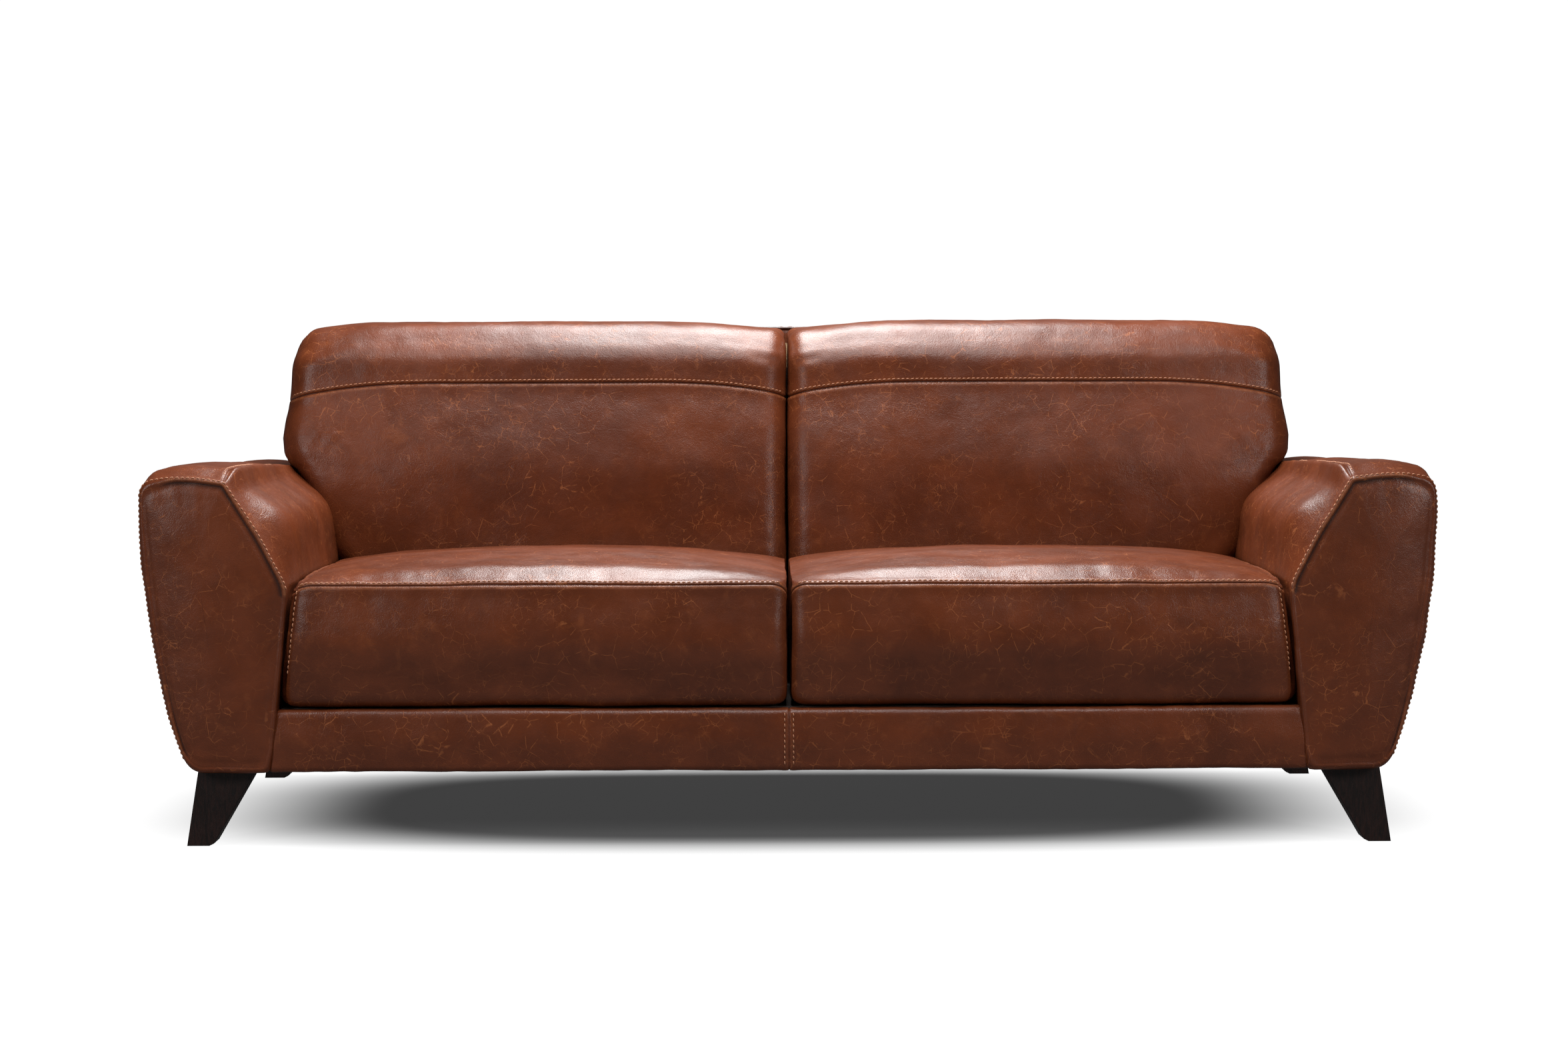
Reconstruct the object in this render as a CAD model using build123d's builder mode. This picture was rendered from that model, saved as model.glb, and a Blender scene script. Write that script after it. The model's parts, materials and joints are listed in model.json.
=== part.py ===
"""Two-seat leather sofa on four splayed wooden legs, as an assembly of separate pieces.

Frame: millimetres, +Z up, floor at Z 0. The front faces -Y and the origin is the middle of the
footprint on the floor. Left is -X and right is +X, as seen by someone facing the sofa.
Depths are measured backwards from the front plane of the arms. Every paired piece is drawn once,
on the right, and mirrored to the left.
"""

from build123d import *

import os
from math import atan2, cos, radians, sin, tan

# Overall
DEPTH = 937
SEAT_FRONT = -4  # the seat cushions stand this far in front of the arms
FRONT_Y = -DEPTH / 2 - SEAT_FRONT
ARM_DEPTH = 880
BASE_Z = 131  # underside of the upholstery, on top of the legs
SEAT_RAKE = 3  # degrees: the deck falls towards the back
FAR = 3000  # longer than anything here, for cuts that go right through

# Thicknesses
LEATHER = 2
PADDING = 15
FIBRE = 12
GAP = 0.3
BOARD = 25
ARM_BOARD = 18

# Arm outline, seen from the front: (X, Z)
ARM_RIDGE = (946, 624)
ARM_TOP_OUTER = (1089, 631)
ARM_SIDE_MIDDLE = (1078, 400)
ARM_FOOT_OUTER = (1014, BASE_Z)
ARM_FOOT_INNER = (876, BASE_Z)
ARM_THROAT = (842, 442)
ARM_EDGE_RADIUS = 14

# Seat cushions
SEAT_SIDE_GAP = 4.5  # half of the gap between the two cushions
SEAT_FRONT_Z = 243
SEAT_SEAM_Z = 452
SEAT_CROWN_Z = 478
SEAT_OUTER_LOW = 856
SEAT_OUTER_HIGH = 830
SEAT_BACK = 548

# Back cushions and the outside back
BACK_SIDE_GAP = 3.5
BACK_BOTTOM_Z = 250
BACK_LEVEL_Z = 450  # where the back starts to lean
BACK_LEAN = 8.5  # degrees
BACK_TOP_Z = 893
BACK_SEAM_Z = 770
BACK_HEAD_ROLL = 90  # how far the top roll reaches back from the seam
BACK_FRONT = 558
BACK_REAR = 795.5
BACK_OUTER = 950
BACK_CLEAR = 5  # between the back and the arms
OUTSIDE_NEAR = 798.2
OUTSIDE_FAR = 868

# Seat frame
FRAME_BOTTOM_Z = 134
FRONT_RAIL_AT = 34
REAR_RAIL_AT = 773
SIDE_RAIL_INNER = 826
RAIL_CLEAR = 0.6  # between the frame and the arms
RAIL_COVER_AT = 8
RAIL_COVER_TOP_Z = 237.5
RAIL_COVER_CLEAR = 3

# Back frame
POST_AT = REAR_RAIL_AT + BOARD
POST_DEPTH = 64
POST_INNER = 790
POST_OUTER = 832
EAR_OUTER = 905
EAR_Z = 660
POST_TOP_Z = 868
CENTRE_HALF = 21

# The deck's layers, as lifts square to the plane of the cushions' underside
STRIP = 1.2
HOOK_LIFT = -2.8
FELT = 4
WIRE = 4
CLIP = 1.4
FELT_LIFT = HOOK_LIFT - FELT
WIRE_LIFT = FELT_LIFT - GAP - CLIP - WIRE / 2
CLIP_LIFT = WIRE_LIFT - WIRE / 2 - CLIP
RAIL_LIFT = CLIP_LIFT - 0.1

# Springs
SPRING_BENDS = 31
LOOP_WIDTH = 50
SPRINGS_PER_SEAT = 5
SPRING_SPACING = 156
SPRING_FRONT = FRONT_RAIL_AT + BOARD / 2
SPRING_REAR = REAR_RAIL_AT + BOARD / 2

# Legs
LEG_THICKNESS = 50
LEG_TOP = (906, 1004)  # inner and outer X at the top
LEG_FOOT = (987, 1025)
LEG_FOOT_CHAMFER = 8
GLIDE = 2
GLIDE_RADIUS = 10
FRONT_LEG_AT = 40
REAR_LEG_AT = 790
LEG_BOLT_X = 950

# Fasteners
BOLT = 8
BOLT_HOLE = 8.6
BOLT_LENGTH = 70
BOLT_HEAD = 5
NUT = 6
NUT_FROM_HEAD = 63.5
TEE_BARREL = 11
TEE_FLANGE = 24
FRAME_BOLT_Z = 174
ARM_BOLT_DEPTHS = (150, 420, 690)
BACK_BOLT_X = (POST_INNER + POST_OUTER) / 2


def depth_y(depth):
    """Y of a depth behind the arms' front plane."""
    return FRONT_Y + depth


def front_plane(depth):
    """A plane facing the front at this depth: local x is X, local y is Z."""
    return Plane.XZ.offset(-depth_y(depth))


def side_plane(x):
    """A plane facing right at this X: local x is Y, local y is Z."""
    return Plane.YZ.offset(x)


def side_point(depth, z):
    return (depth_y(depth), z)


def leaned(depth, z):
    """Depth of a line that leaves this depth where the back starts to lean."""
    return depth + max(0, z - BACK_LEVEL_Z) * tan(radians(BACK_LEAN))


def raked(z, depth):
    """Height at this depth of a line that has height z at the front and falls with the deck."""
    return z - depth * tan(radians(SEAT_RAKE))


def deck_plane(lift):
    """The plane of the cushions' underside, lifted square to itself: local y runs backwards."""
    normal = (0, sin(radians(SEAT_RAKE)), cos(radians(SEAT_RAKE)))
    return Plane(origin=(0, FRONT_Y, SEAT_FRONT_Z), x_dir=(1, 0, 0), z_dir=normal).offset(lift)


def arm_inner_x(z):
    """X of the arm's inner face below the throat."""
    rise = (z - ARM_FOOT_INNER[1]) / (ARM_THROAT[1] - ARM_FOOT_INNER[1])
    return ARM_FOOT_INNER[0] + rise * (ARM_THROAT[0] - ARM_FOOT_INNER[0])


def round_corner(sketch, point, radius):
    fillet(sketch.vertices().sort_by_distance(Vector(*point))[0], radius)


def save(part, name):
    part.label = name
    export_step(part, f"parts/{name}.step")


def save_pair(part, name):
    """Write a right-hand piece and its mirror image."""
    save(part, f"{name}_right")
    with BuildPart() as other:
        mirror(part, about=Plane.YZ)
    save(other.part, f"{name}_left")


# ---------------------------------------------------------------- arms

ARM_WRAP = LEATHER + GAP
ARM_FRAME = ARM_WRAP + PADDING
INNER_BOARD_LOW_Z = 160
INNER_BOARD_HIGH_Z = 236


def arm_outline(depth, inset):
    with BuildSketch(front_plane(depth)) as outline:
        with BuildLine():
            side = ThreePointArc(ARM_TOP_OUTER, ARM_SIDE_MIDDLE, ARM_FOOT_OUTER)
            Polyline(side @ 1, ARM_FOOT_INNER, ARM_THROAT, ARM_RIDGE, side @ 0)
        make_face()
        round_corner(outline, ARM_TOP_OUTER, 25)
        round_corner(outline, ARM_FOOT_OUTER, 32)
        round_corner(outline, ARM_RIDGE, 24)
        round_corner(outline, ARM_THROAT, 60)
        if inset:
            offset(amount=-inset, mode=Mode.REPLACE)
    return outline.sketch


def arm_block(inset):
    """The whole arm, drawn in by inset, with its front and rear edges rounded."""
    with BuildPart() as block:
        extrude(arm_outline(inset, inset), amount=-(ARM_DEPTH - 2 * inset))
        if inset < ARM_EDGE_RADIUS - 2:
            ends = block.faces().sort_by(Axis.Y)
            fillet(ends[0].edges() + ends[-1].edges(), ARM_EDGE_RADIUS - inset)
    return block.part


def leg_bolt_places(z):
    middles = [at + LEG_THICKNESS / 2 for at in (FRONT_LEG_AT, REAR_LEG_AT)]
    return [(LEG_BOLT_X, depth_y(depth), z) for depth in middles]


def arm_bolt_holes(length=120):
    """Cut the holes that the arm's bolts pass through."""
    with Locations(*[(ARM_FOOT_INNER[0], depth_y(d), FRAME_BOLT_Z) for d in ARM_BOLT_DEPTHS]):
        Cylinder(BOLT_HOLE / 2, length, rotation=(0, 90, 0), mode=Mode.SUBTRACT)


def make_arm_covers():
    with BuildPart() as cover:
        add(arm_block(0))
        add(arm_block(LEATHER), mode=Mode.SUBTRACT)
        with Locations(*leg_bolt_places(BASE_Z)):
            Cylinder(BOLT_HOLE / 2, 4 * LEATHER, mode=Mode.SUBTRACT)
        arm_bolt_holes(40)
    save_pair(cover.part, "arm_cover")


def make_arm_padding():
    """Foam over the top, outside, front and rear; none below or against the seat frame."""
    with BuildPart() as padding:
        add(arm_block(ARM_WRAP))
        add(arm_block(ARM_FRAME - GAP), mode=Mode.SUBTRACT)
        with Locations((LEG_BOLT_X, 0, BASE_Z)):
            Box(FAR, FAR, 2 * 30, mode=Mode.SUBTRACT)
        with Locations((ARM_FOOT_INNER[0], 0, BASE_Z)):
            Box(2 * 50, FAR, 2 * (INNER_BOARD_HIGH_Z + 2 - BASE_Z), mode=Mode.SUBTRACT)
    save_pair(padding.part, "arm_padding")


def make_arm_boards():
    # The inner board carries the bolts to the seat frame
    with BuildPart() as inner_board:
        extrude(arm_outline(40, ARM_WRAP), amount=-(ARM_DEPTH - 80))
        extrude(arm_outline(0, ARM_FRAME - GAP), amount=-ARM_DEPTH, mode=Mode.SUBTRACT)
        with Locations((ARM_FOOT_INNER[0], 0, (INNER_BOARD_HIGH_Z + INNER_BOARD_LOW_Z) / 2)):
            Box(2 * 40, FAR, INNER_BOARD_HIGH_Z - INNER_BOARD_LOW_Z, mode=Mode.INTERSECT)
        arm_bolt_holes()
    save_pair(inner_board.part, "arm_inner_board")

    # End boards give the arm its outline; each has a lightening slot
    for name, at in (("front", ARM_FRAME + 1), ("rear", ARM_DEPTH - ARM_FRAME - 1 - ARM_BOARD)):
        with BuildPart() as board:
            extrude(arm_outline(at, ARM_FRAME), amount=-ARM_BOARD)
            with BuildSketch(front_plane(at)):
                with Locations((962, 360)):
                    SlotCenterToCenter(150, 70, rotation=80)
            extrude(amount=-ARM_BOARD, mode=Mode.SUBTRACT)
        save_pair(board.part, f"arm_{name}_board")

    between = ARM_FRAME + 2 + ARM_BOARD
    with BuildPart() as top_board:
        with BuildSketch(front_plane(between)):
            with Locations((1010, 594)):
                Rectangle(88, 22)
        extrude(amount=-(ARM_DEPTH - 2 * between))
    save_pair(top_board.part, "arm_top_board")

    with BuildPart() as bottom_board:
        with BuildSketch(front_plane(between)):
            with Locations((940, BASE_Z + ARM_WRAP + BOARD / 2)):
                Rectangle(104, BOARD)
        extrude(amount=-(ARM_DEPTH - 2 * between))
        with Locations(*leg_bolt_places(BASE_Z + ARM_WRAP + BOARD / 2)):
            Cylinder(TEE_BARREL / 2 + 0.1, BOARD, mode=Mode.SUBTRACT)
    save_pair(bottom_board.part, "arm_bottom_board")


# ---------------------------------------------------------------- cushions


def seat_block(inset):
    """Right seat cushion: its front outline crossed with its side outline, drawn in by inset."""
    with BuildPart() as block:
        with BuildSketch(front_plane(-FAR / 2)) as front:
            low_z = SEAT_FRONT_Z / 2
            with BuildLine():
                crown = ThreePointArc(
                    (SEAT_SIDE_GAP, SEAT_SEAM_Z),
                    ((SEAT_SIDE_GAP + SEAT_OUTER_HIGH) / 2, SEAT_CROWN_Z),
                    (SEAT_OUTER_HIGH, SEAT_SEAM_Z),
                )
                Polyline(
                    crown @ 1,
                    (SEAT_OUTER_LOW, SEAT_FRONT_Z),
                    (SEAT_OUTER_LOW, low_z),
                    (SEAT_SIDE_GAP, low_z),
                    crown @ 0,
                )
            make_face()
            round_corner(front, (SEAT_OUTER_HIGH, SEAT_SEAM_Z), 18)
            round_corner(front, (SEAT_SIDE_GAP, SEAT_SEAM_Z), 18)
            if inset:
                offset(amount=-inset, mode=Mode.REPLACE)
        extrude(amount=-FAR)
        rear_low = side_point(SEAT_BACK, raked(SEAT_FRONT_Z, SEAT_BACK))
        rear_high = side_point(SEAT_BACK, SEAT_CROWN_Z)
        front_low = side_point(SEAT_FRONT + 4, raked(SEAT_FRONT_Z, SEAT_FRONT + 4))
        with BuildSketch(side_plane(-1)) as side:
            with BuildLine():
                Polyline(
                    front_low,
                    side_point(SEAT_FRONT, (SEAT_FRONT_Z + SEAT_SEAM_Z) / 2),
                    side_point(SEAT_FRONT + 4, SEAT_SEAM_Z - 10),
                    side_point(SEAT_FRONT + 14, SEAT_SEAM_Z + 6),
                    side_point(SEAT_FRONT + 150, SEAT_CROWN_Z + 4),
                    rear_high,
                    rear_low,
                    close=True,
                )
            make_face()
            round_corner(side, front_low, 16)
            round_corner(side, rear_high, 30)
            round_corner(side, rear_low, 20)
            if inset:
                offset(amount=-inset, mode=Mode.REPLACE)
        extrude(amount=FAR, mode=Mode.INTERSECT)
    return block.part


def back_corners(low_x, low_z):
    """Outline of the back above the arms and down between them, from the bottom to the top."""
    rise = ARM_RIDGE[1] - ARM_THROAT[1]
    run = ARM_RIDGE[0] - ARM_THROAT[0]
    slope = atan2(rise, run)
    away = Vector(-BACK_CLEAR * sin(slope), BACK_CLEAR * cos(slope))
    throat = Vector(*ARM_THROAT) + away
    ridge = Vector(*ARM_RIDGE) + away
    return [
        (low_x, low_z),
        (throat.X, throat.Y),
        (ridge.X, ridge.Y),
        (BACK_OUTER, ridge.Y + 16),
        (BACK_OUTER, BACK_SEAM_Z),
        (BACK_OUTER - 4, BACK_TOP_Z - 10),
    ]


def back_block(inset):
    """Right back cushion: it follows the arm's inner slope and leans from the seat upwards."""
    with BuildPart() as block:
        corners = back_corners(ARM_THROAT[0] - BACK_CLEAR, BACK_BOTTOM_Z)
        with BuildSketch(front_plane(0)) as front:
            with BuildLine():
                crown = ThreePointArc(
                    (BACK_SIDE_GAP, BACK_TOP_Z - 12), (370, BACK_TOP_Z), corners[-1]
                )
                Polyline(crown @ 0, (BACK_SIDE_GAP, BACK_BOTTOM_Z), *corners)
            make_face()
            round_corner(front, corners[-1], 65)
            round_corner(front, (BACK_SIDE_GAP, BACK_TOP_Z - 12), 26)
            if inset:
                offset(amount=-inset, mode=Mode.REPLACE)
        extrude(amount=-FAR)
        seam_depth = leaned(BACK_FRONT, BACK_SEAM_Z)
        top_start = side_point(seam_depth + BACK_HEAD_ROLL, BACK_TOP_Z)
        with BuildSketch(side_plane(-1)):
            with BuildLine():
                Polyline(
                    top_start,
                    side_point(leaned(BACK_REAR, BACK_TOP_Z), BACK_TOP_Z),
                    side_point(BACK_REAR, BACK_LEVEL_Z),
                    side_point(BACK_REAR, BACK_BOTTOM_Z),
                    side_point(BACK_FRONT, BACK_BOTTOM_Z),
                    side_point(BACK_FRONT, BACK_LEVEL_Z),
                    side_point(seam_depth, BACK_SEAM_Z),
                )
                ThreePointArc(
                    side_point(seam_depth, BACK_SEAM_Z),
                    side_point(seam_depth + BACK_HEAD_ROLL / 3, BACK_TOP_Z - 42),
                    top_start,
                )
            make_face()
            if inset:
                offset(amount=-inset, mode=Mode.REPLACE)
        extrude(amount=FAR, mode=Mode.INTERSECT)
    return block.part


def make_cushions(block, name):
    """Leather cover, fibre wrap and foam core, one inside the other."""
    wrap_out = LEATHER + GAP
    wrap_in = wrap_out + FIBRE
    with BuildPart() as cover:
        add(block(0))
        add(block(LEATHER), mode=Mode.SUBTRACT)
    save_pair(cover.part, f"{name}_cover")
    with BuildPart() as wrap:
        add(block(wrap_out))
        add(block(wrap_in), mode=Mode.SUBTRACT)
    save_pair(wrap.part, f"{name}_wrap")
    save_pair(block(wrap_in + GAP), f"{name}_core")


def make_seat_trim():
    """Zip across the cushion's rear, and the hook-and-loop strips that hold it to the deck."""
    middle = (SEAT_SIDE_GAP + SEAT_OUTER_HIGH) / 2
    zip_z = 340
    with BuildPart() as zip_closure:
        with BuildSketch(front_plane(SEAT_BACK)):
            with Locations((middle, zip_z)):
                Rectangle(720, 26)
        extrude(amount=-1)
        with BuildSketch(front_plane(SEAT_BACK + 1)):
            with Locations((middle, zip_z)):
                Rectangle(712, 6)
        extrude(amount=-1.6)
        with BuildSketch(front_plane(SEAT_BACK + 2.6)):
            with Locations((middle + 340, zip_z)):
                Rectangle(18, 10)
        extrude(amount=-2)
    save_pair(zip_closure.part, "seat_zip")

    strip_depths = (120, 430)
    strip_length = 600
    strip_width = 50
    with BuildPart() as loops:
        with BuildSketch(deck_plane(-STRIP)):
            with Locations(*[(middle, depth) for depth in strip_depths]):
                Rectangle(strip_length, strip_width)
        extrude(amount=STRIP)
    save_pair(loops.part, "seat_loop_strips")

    with BuildPart() as hooks:
        with BuildSketch(deck_plane(HOOK_LIFT)):
            with Locations(*[(s * middle, depth) for s in (-1, 1) for depth in strip_depths]):
                Rectangle(strip_length, strip_width)
        extrude(amount=STRIP)
    save(hooks.part, "deck_hook_strips")


# ---------------------------------------------------------------- seat frame


def between_arms(depth, low_z, high_z, clear, inset=0):
    """The space between the arms' inner faces, seen from the front."""
    low_x = arm_inner_x(low_z) - clear
    high_x = arm_inner_x(high_z) - clear
    with BuildSketch(front_plane(depth)) as outline:
        with BuildLine():
            Polyline(
                (low_x, low_z), (high_x, high_z), (-high_x, high_z), (-low_x, low_z), close=True
            )
        make_face()
        if inset:
            offset(amount=-inset, mode=Mode.REPLACE)
    return outline.sketch


def make_front_rail_cover():
    reach = FRONT_RAIL_AT - RAIL_COVER_AT
    with BuildPart() as cover:
        outline = between_arms(RAIL_COVER_AT, BASE_Z, RAIL_COVER_TOP_Z, RAIL_COVER_CLEAR)
        extrude(outline, amount=-reach)
        fillet(cover.faces().sort_by(Axis.Y)[0].edges().filter_by(Axis.X), 10)
        hollow = between_arms(
            RAIL_COVER_AT + LEATHER, BASE_Z, RAIL_COVER_TOP_Z, RAIL_COVER_CLEAR, LEATHER
        )
        extrude(hollow, amount=-reach, mode=Mode.SUBTRACT)
    save(cover.part, "front_rail_cover")

    with BuildPart() as padding:
        front = RAIL_COVER_AT + LEATHER + GAP
        outline = between_arms(front, BASE_Z, RAIL_COVER_TOP_Z, RAIL_COVER_CLEAR, LEATHER + 8)
        extrude(outline, amount=-(FRONT_RAIL_AT - GAP - front))
    save(padding.part, "front_rail_padding")


def frame_bolt_places():
    """Where each frame bolt's head sits, with the bolt's shaft along local +Z."""
    arm_bolts = [
        Plane(origin=(s * SIDE_RAIL_INNER, depth_y(d), FRAME_BOLT_Z), z_dir=(s, 0, 0))
        for s in (-1, 1)
        for d in ARM_BOLT_DEPTHS
    ]
    back_bolts = [
        Plane(origin=(x, depth_y(REAR_RAIL_AT), z), z_dir=(0, 1, 0))
        for x in (-BACK_BOLT_X, 0, BACK_BOLT_X)
        for z in (150, 172)
    ]
    return [Location(plane) for plane in arm_bolts + back_bolts]


def bolt_holes():
    """Cut clearance holes along every frame bolt."""
    with Locations(*frame_bolt_places()):
        Cylinder(
            BOLT_HOLE / 2, BOLT_LENGTH + 2, align=(Align.CENTER, Align.CENTER, Align.MIN),
            mode=Mode.SUBTRACT,
        )


def make_rails():
    high_z = SEAT_FRONT_Z
    for name, at in (("front", FRONT_RAIL_AT), ("rear", REAR_RAIL_AT)):
        with BuildPart() as rail:
            extrude(between_arms(at, FRAME_BOTTOM_Z, high_z, RAIL_CLEAR), amount=-BOARD)
            split(bisect_by=deck_plane(RAIL_LIFT), keep=Keep.BOTTOM)
            bolt_holes()
        save(rail.part, f"{name}_rail")

    length = REAR_RAIL_AT - FRONT_RAIL_AT - BOARD
    start = FRONT_RAIL_AT + BOARD
    with BuildPart() as side_rail:
        with BuildSketch(front_plane(start)):
            with BuildLine():
                Polyline(
                    (SIDE_RAIL_INNER, FRAME_BOTTOM_Z),
                    (arm_inner_x(FRAME_BOTTOM_Z) - RAIL_CLEAR, FRAME_BOTTOM_Z),
                    (arm_inner_x(high_z) - RAIL_CLEAR, high_z),
                    (SIDE_RAIL_INNER, high_z),
                    close=True,
                )
            make_face()
        extrude(amount=-length)
        split(bisect_by=deck_plane(RAIL_LIFT), keep=Keep.BOTTOM)
        bolt_holes()
    save_pair(side_rail.part, "side_rail")

    with BuildPart() as centre_rail:
        with BuildSketch(front_plane(start)):
            with Locations((0, (FRAME_BOTTOM_Z + high_z) / 2)):
                Rectangle(2 * CENTRE_HALF, high_z - FRAME_BOTTOM_Z)
        extrude(amount=-length)
        split(bisect_by=deck_plane(RAIL_LIFT), keep=Keep.BOTTOM)
        with Locations(*[(0, depth_y(REAR_RAIL_AT), z) for z in (150, 172)]):
            Box(20, 2 * (BOLT_HEAD + 1), 20, mode=Mode.SUBTRACT)
    save(centre_rail.part, "centre_rail")

    block = 70
    with BuildPart() as blocks:
        for x_side in (-1, 1):
            for corner_depth, depth_side in ((start, 1), (REAR_RAIL_AT, -1)):
                x = x_side * SIDE_RAIL_INNER
                y = depth_y(corner_depth)
                with BuildSketch(Plane.XY.offset(FRAME_BOTTOM_Z)):
                    with BuildLine():
                        Polyline(
                            (x, y), (x - x_side * block, y), (x, y + depth_side * block), close=True
                        )
                    make_face()
                extrude(amount=25)
        with Locations(*[(s * BACK_BOLT_X, depth_y(REAR_RAIL_AT), 150) for s in (-1, 1)]):
            Box(24, 2 * (BOLT_HEAD + 1), 24, mode=Mode.SUBTRACT)
    save(blocks.part, "corner_blocks")


def make_deck():
    deck_half = arm_inner_x(SEAT_FRONT_Z) - 4
    felt_front = FRONT_RAIL_AT + 1
    felt_length = POST_AT - 1 - felt_front
    with BuildPart() as felt:
        with BuildSketch(deck_plane(FELT_LIFT)):
            with Locations((0, felt_front + felt_length / 2)):
                Rectangle(2 * deck_half, felt_length)
        extrude(amount=FELT)
    save(felt.part, "deck_felt")

    with BuildPart() as dust_cover:
        low = FRONT_RAIL_AT + 1
        with BuildSketch(Plane.XY.offset(FRAME_BOTTOM_Z - 1)):
            with Locations((0, (depth_y(low) + depth_y(POST_AT - 1)) / 2)):
                Rectangle(2 * (ARM_FOOT_INNER[0] - 3), POST_AT - 1 - low)
        extrude(amount=1)
    save(dust_cover.part, "dust_cover")


def spring_xs():
    """X of each spring: evenly spaced across both seats, clear of the centre rail."""
    first = (SIDE_RAIL_INNER - SPRING_SPACING * (SPRINGS_PER_SEAT - 1)) / 2 + CENTRE_HALF / 2
    right = [first + SPRING_SPACING * i for i in range(SPRINGS_PER_SEAT)]
    return [-x for x in reversed(right)] + right


def make_springs():
    pitch = (SPRING_REAR - SPRING_FRONT) / SPRING_BENDS
    half_bar = (LOOP_WIDTH - pitch) / 2
    with BuildPart() as spring:
        with BuildLine(deck_plane(WIRE_LIFT)) as path:
            for i in range(SPRING_BENDS + 1):
                depth = SPRING_FRONT + i * pitch
                side = -1 if i % 2 else 1
                Line((-side * half_bar, depth), (side * half_bar, depth))
                if i < SPRING_BENDS:
                    ThreePointArc(
                        (side * half_bar, depth),
                        (side * (half_bar + pitch / 2), depth + pitch / 2),
                        (side * half_bar, depth + pitch),
                    )
        wire = path.wires()[0]
        with BuildSketch(Plane(origin=wire @ 0, z_dir=wire % 0)):
            Circle(WIRE / 2)
        sweep(path=wire)
    with BuildPart() as springs:
        with Locations(*[(x, 0, 0) for x in spring_xs()]):
            add(spring.part)
    save(springs.part, "seat_springs")

    # Each clip is nailed to a rail and curls over the spring's end bar
    clip_width = 16
    curl = WIRE / 2 + GAP
    tail = 11
    with BuildPart() as clip_pair:
        for depth in (SPRING_FRONT, SPRING_REAR):
            base = deck_plane(WIRE_LIFT)
            origin = base.origin + base.y_dir * depth - base.x_dir * clip_width / 2
            with BuildSketch(Plane(origin=origin, x_dir=base.y_dir, z_dir=base.x_dir)):
                Circle(curl + CLIP - GAP)
                Circle(curl, mode=Mode.SUBTRACT)
                with Locations((-curl - CLIP, 0)):
                    Rectangle(2 * curl, 2 * curl, mode=Mode.SUBTRACT)
                with Locations((0, -WIRE / 2 - GAP - CLIP / 2 + GAP / 2)):
                    Rectangle(2 * tail, CLIP - GAP)
            extrude(amount=clip_width)
    with BuildPart() as clips:
        with Locations(*[(x, 0, 0) for x in spring_xs()]):
            add(clip_pair.part)
    save(clips.part, "spring_clips")


# ---------------------------------------------------------------- back frame


def leaning_slab(near, far, low_z, high_z):
    """Side outline of a layer that is upright to the seat's level and leans above it."""
    levels = [low_z, BACK_LEVEL_Z, high_z] if low_z < BACK_LEVEL_Z < high_z else [low_z, high_z]
    rear = [side_point(leaned(far, z), z) for z in levels]
    corners = rear + [side_point(leaned(near, z), z) for z in reversed(levels)]
    with BuildSketch(side_plane(-FAR / 2)) as slab:
        with BuildLine():
            Polyline(*corners, close=True)
        make_face()
    return slab.sketch


def outside_outline(inset):
    """The whole outside back, seen from the front."""
    corners = back_corners(ARM_FOOT_INNER[0] - BACK_CLEAR, BASE_Z)
    mirrored = [(-x, z) for x, z in reversed(corners)]
    with BuildSketch(front_plane(0)) as outline:
        with BuildLine():
            crown = ThreePointArc(mirrored[0], (0, BACK_TOP_Z - 8), corners[-1])
            Polyline(crown @ 0, *mirrored[1:], *corners)
        make_face()
        round_corner(outline, corners[-1], 65)
        round_corner(outline, mirrored[0], 65)
        if inset:
            offset(amount=-inset, mode=Mode.REPLACE)
    return outline.sketch


def outside_block(inset, near, far):
    with BuildPart() as block:
        extrude(outside_outline(inset), amount=-FAR)
        extrude(leaning_slab(near, far, 0, BACK_TOP_Z + 20), amount=FAR, mode=Mode.INTERSECT)
    return block.part


def make_outside_back():
    """A leather tray round the back frame, open towards the cushions, and the board inside it."""
    with BuildPart() as cover:
        add(outside_block(0, OUTSIDE_NEAR, OUTSIDE_FAR))
        add(outside_block(LEATHER, OUTSIDE_NEAR - 50, OUTSIDE_FAR - LEATHER), mode=Mode.SUBTRACT)
    save(cover.part, "outside_back_cover")
    board_far = OUTSIDE_FAR - LEATHER - GAP
    save(outside_block(LEATHER + 4, board_far - 3.2, board_far), "outside_back_board")


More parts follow.
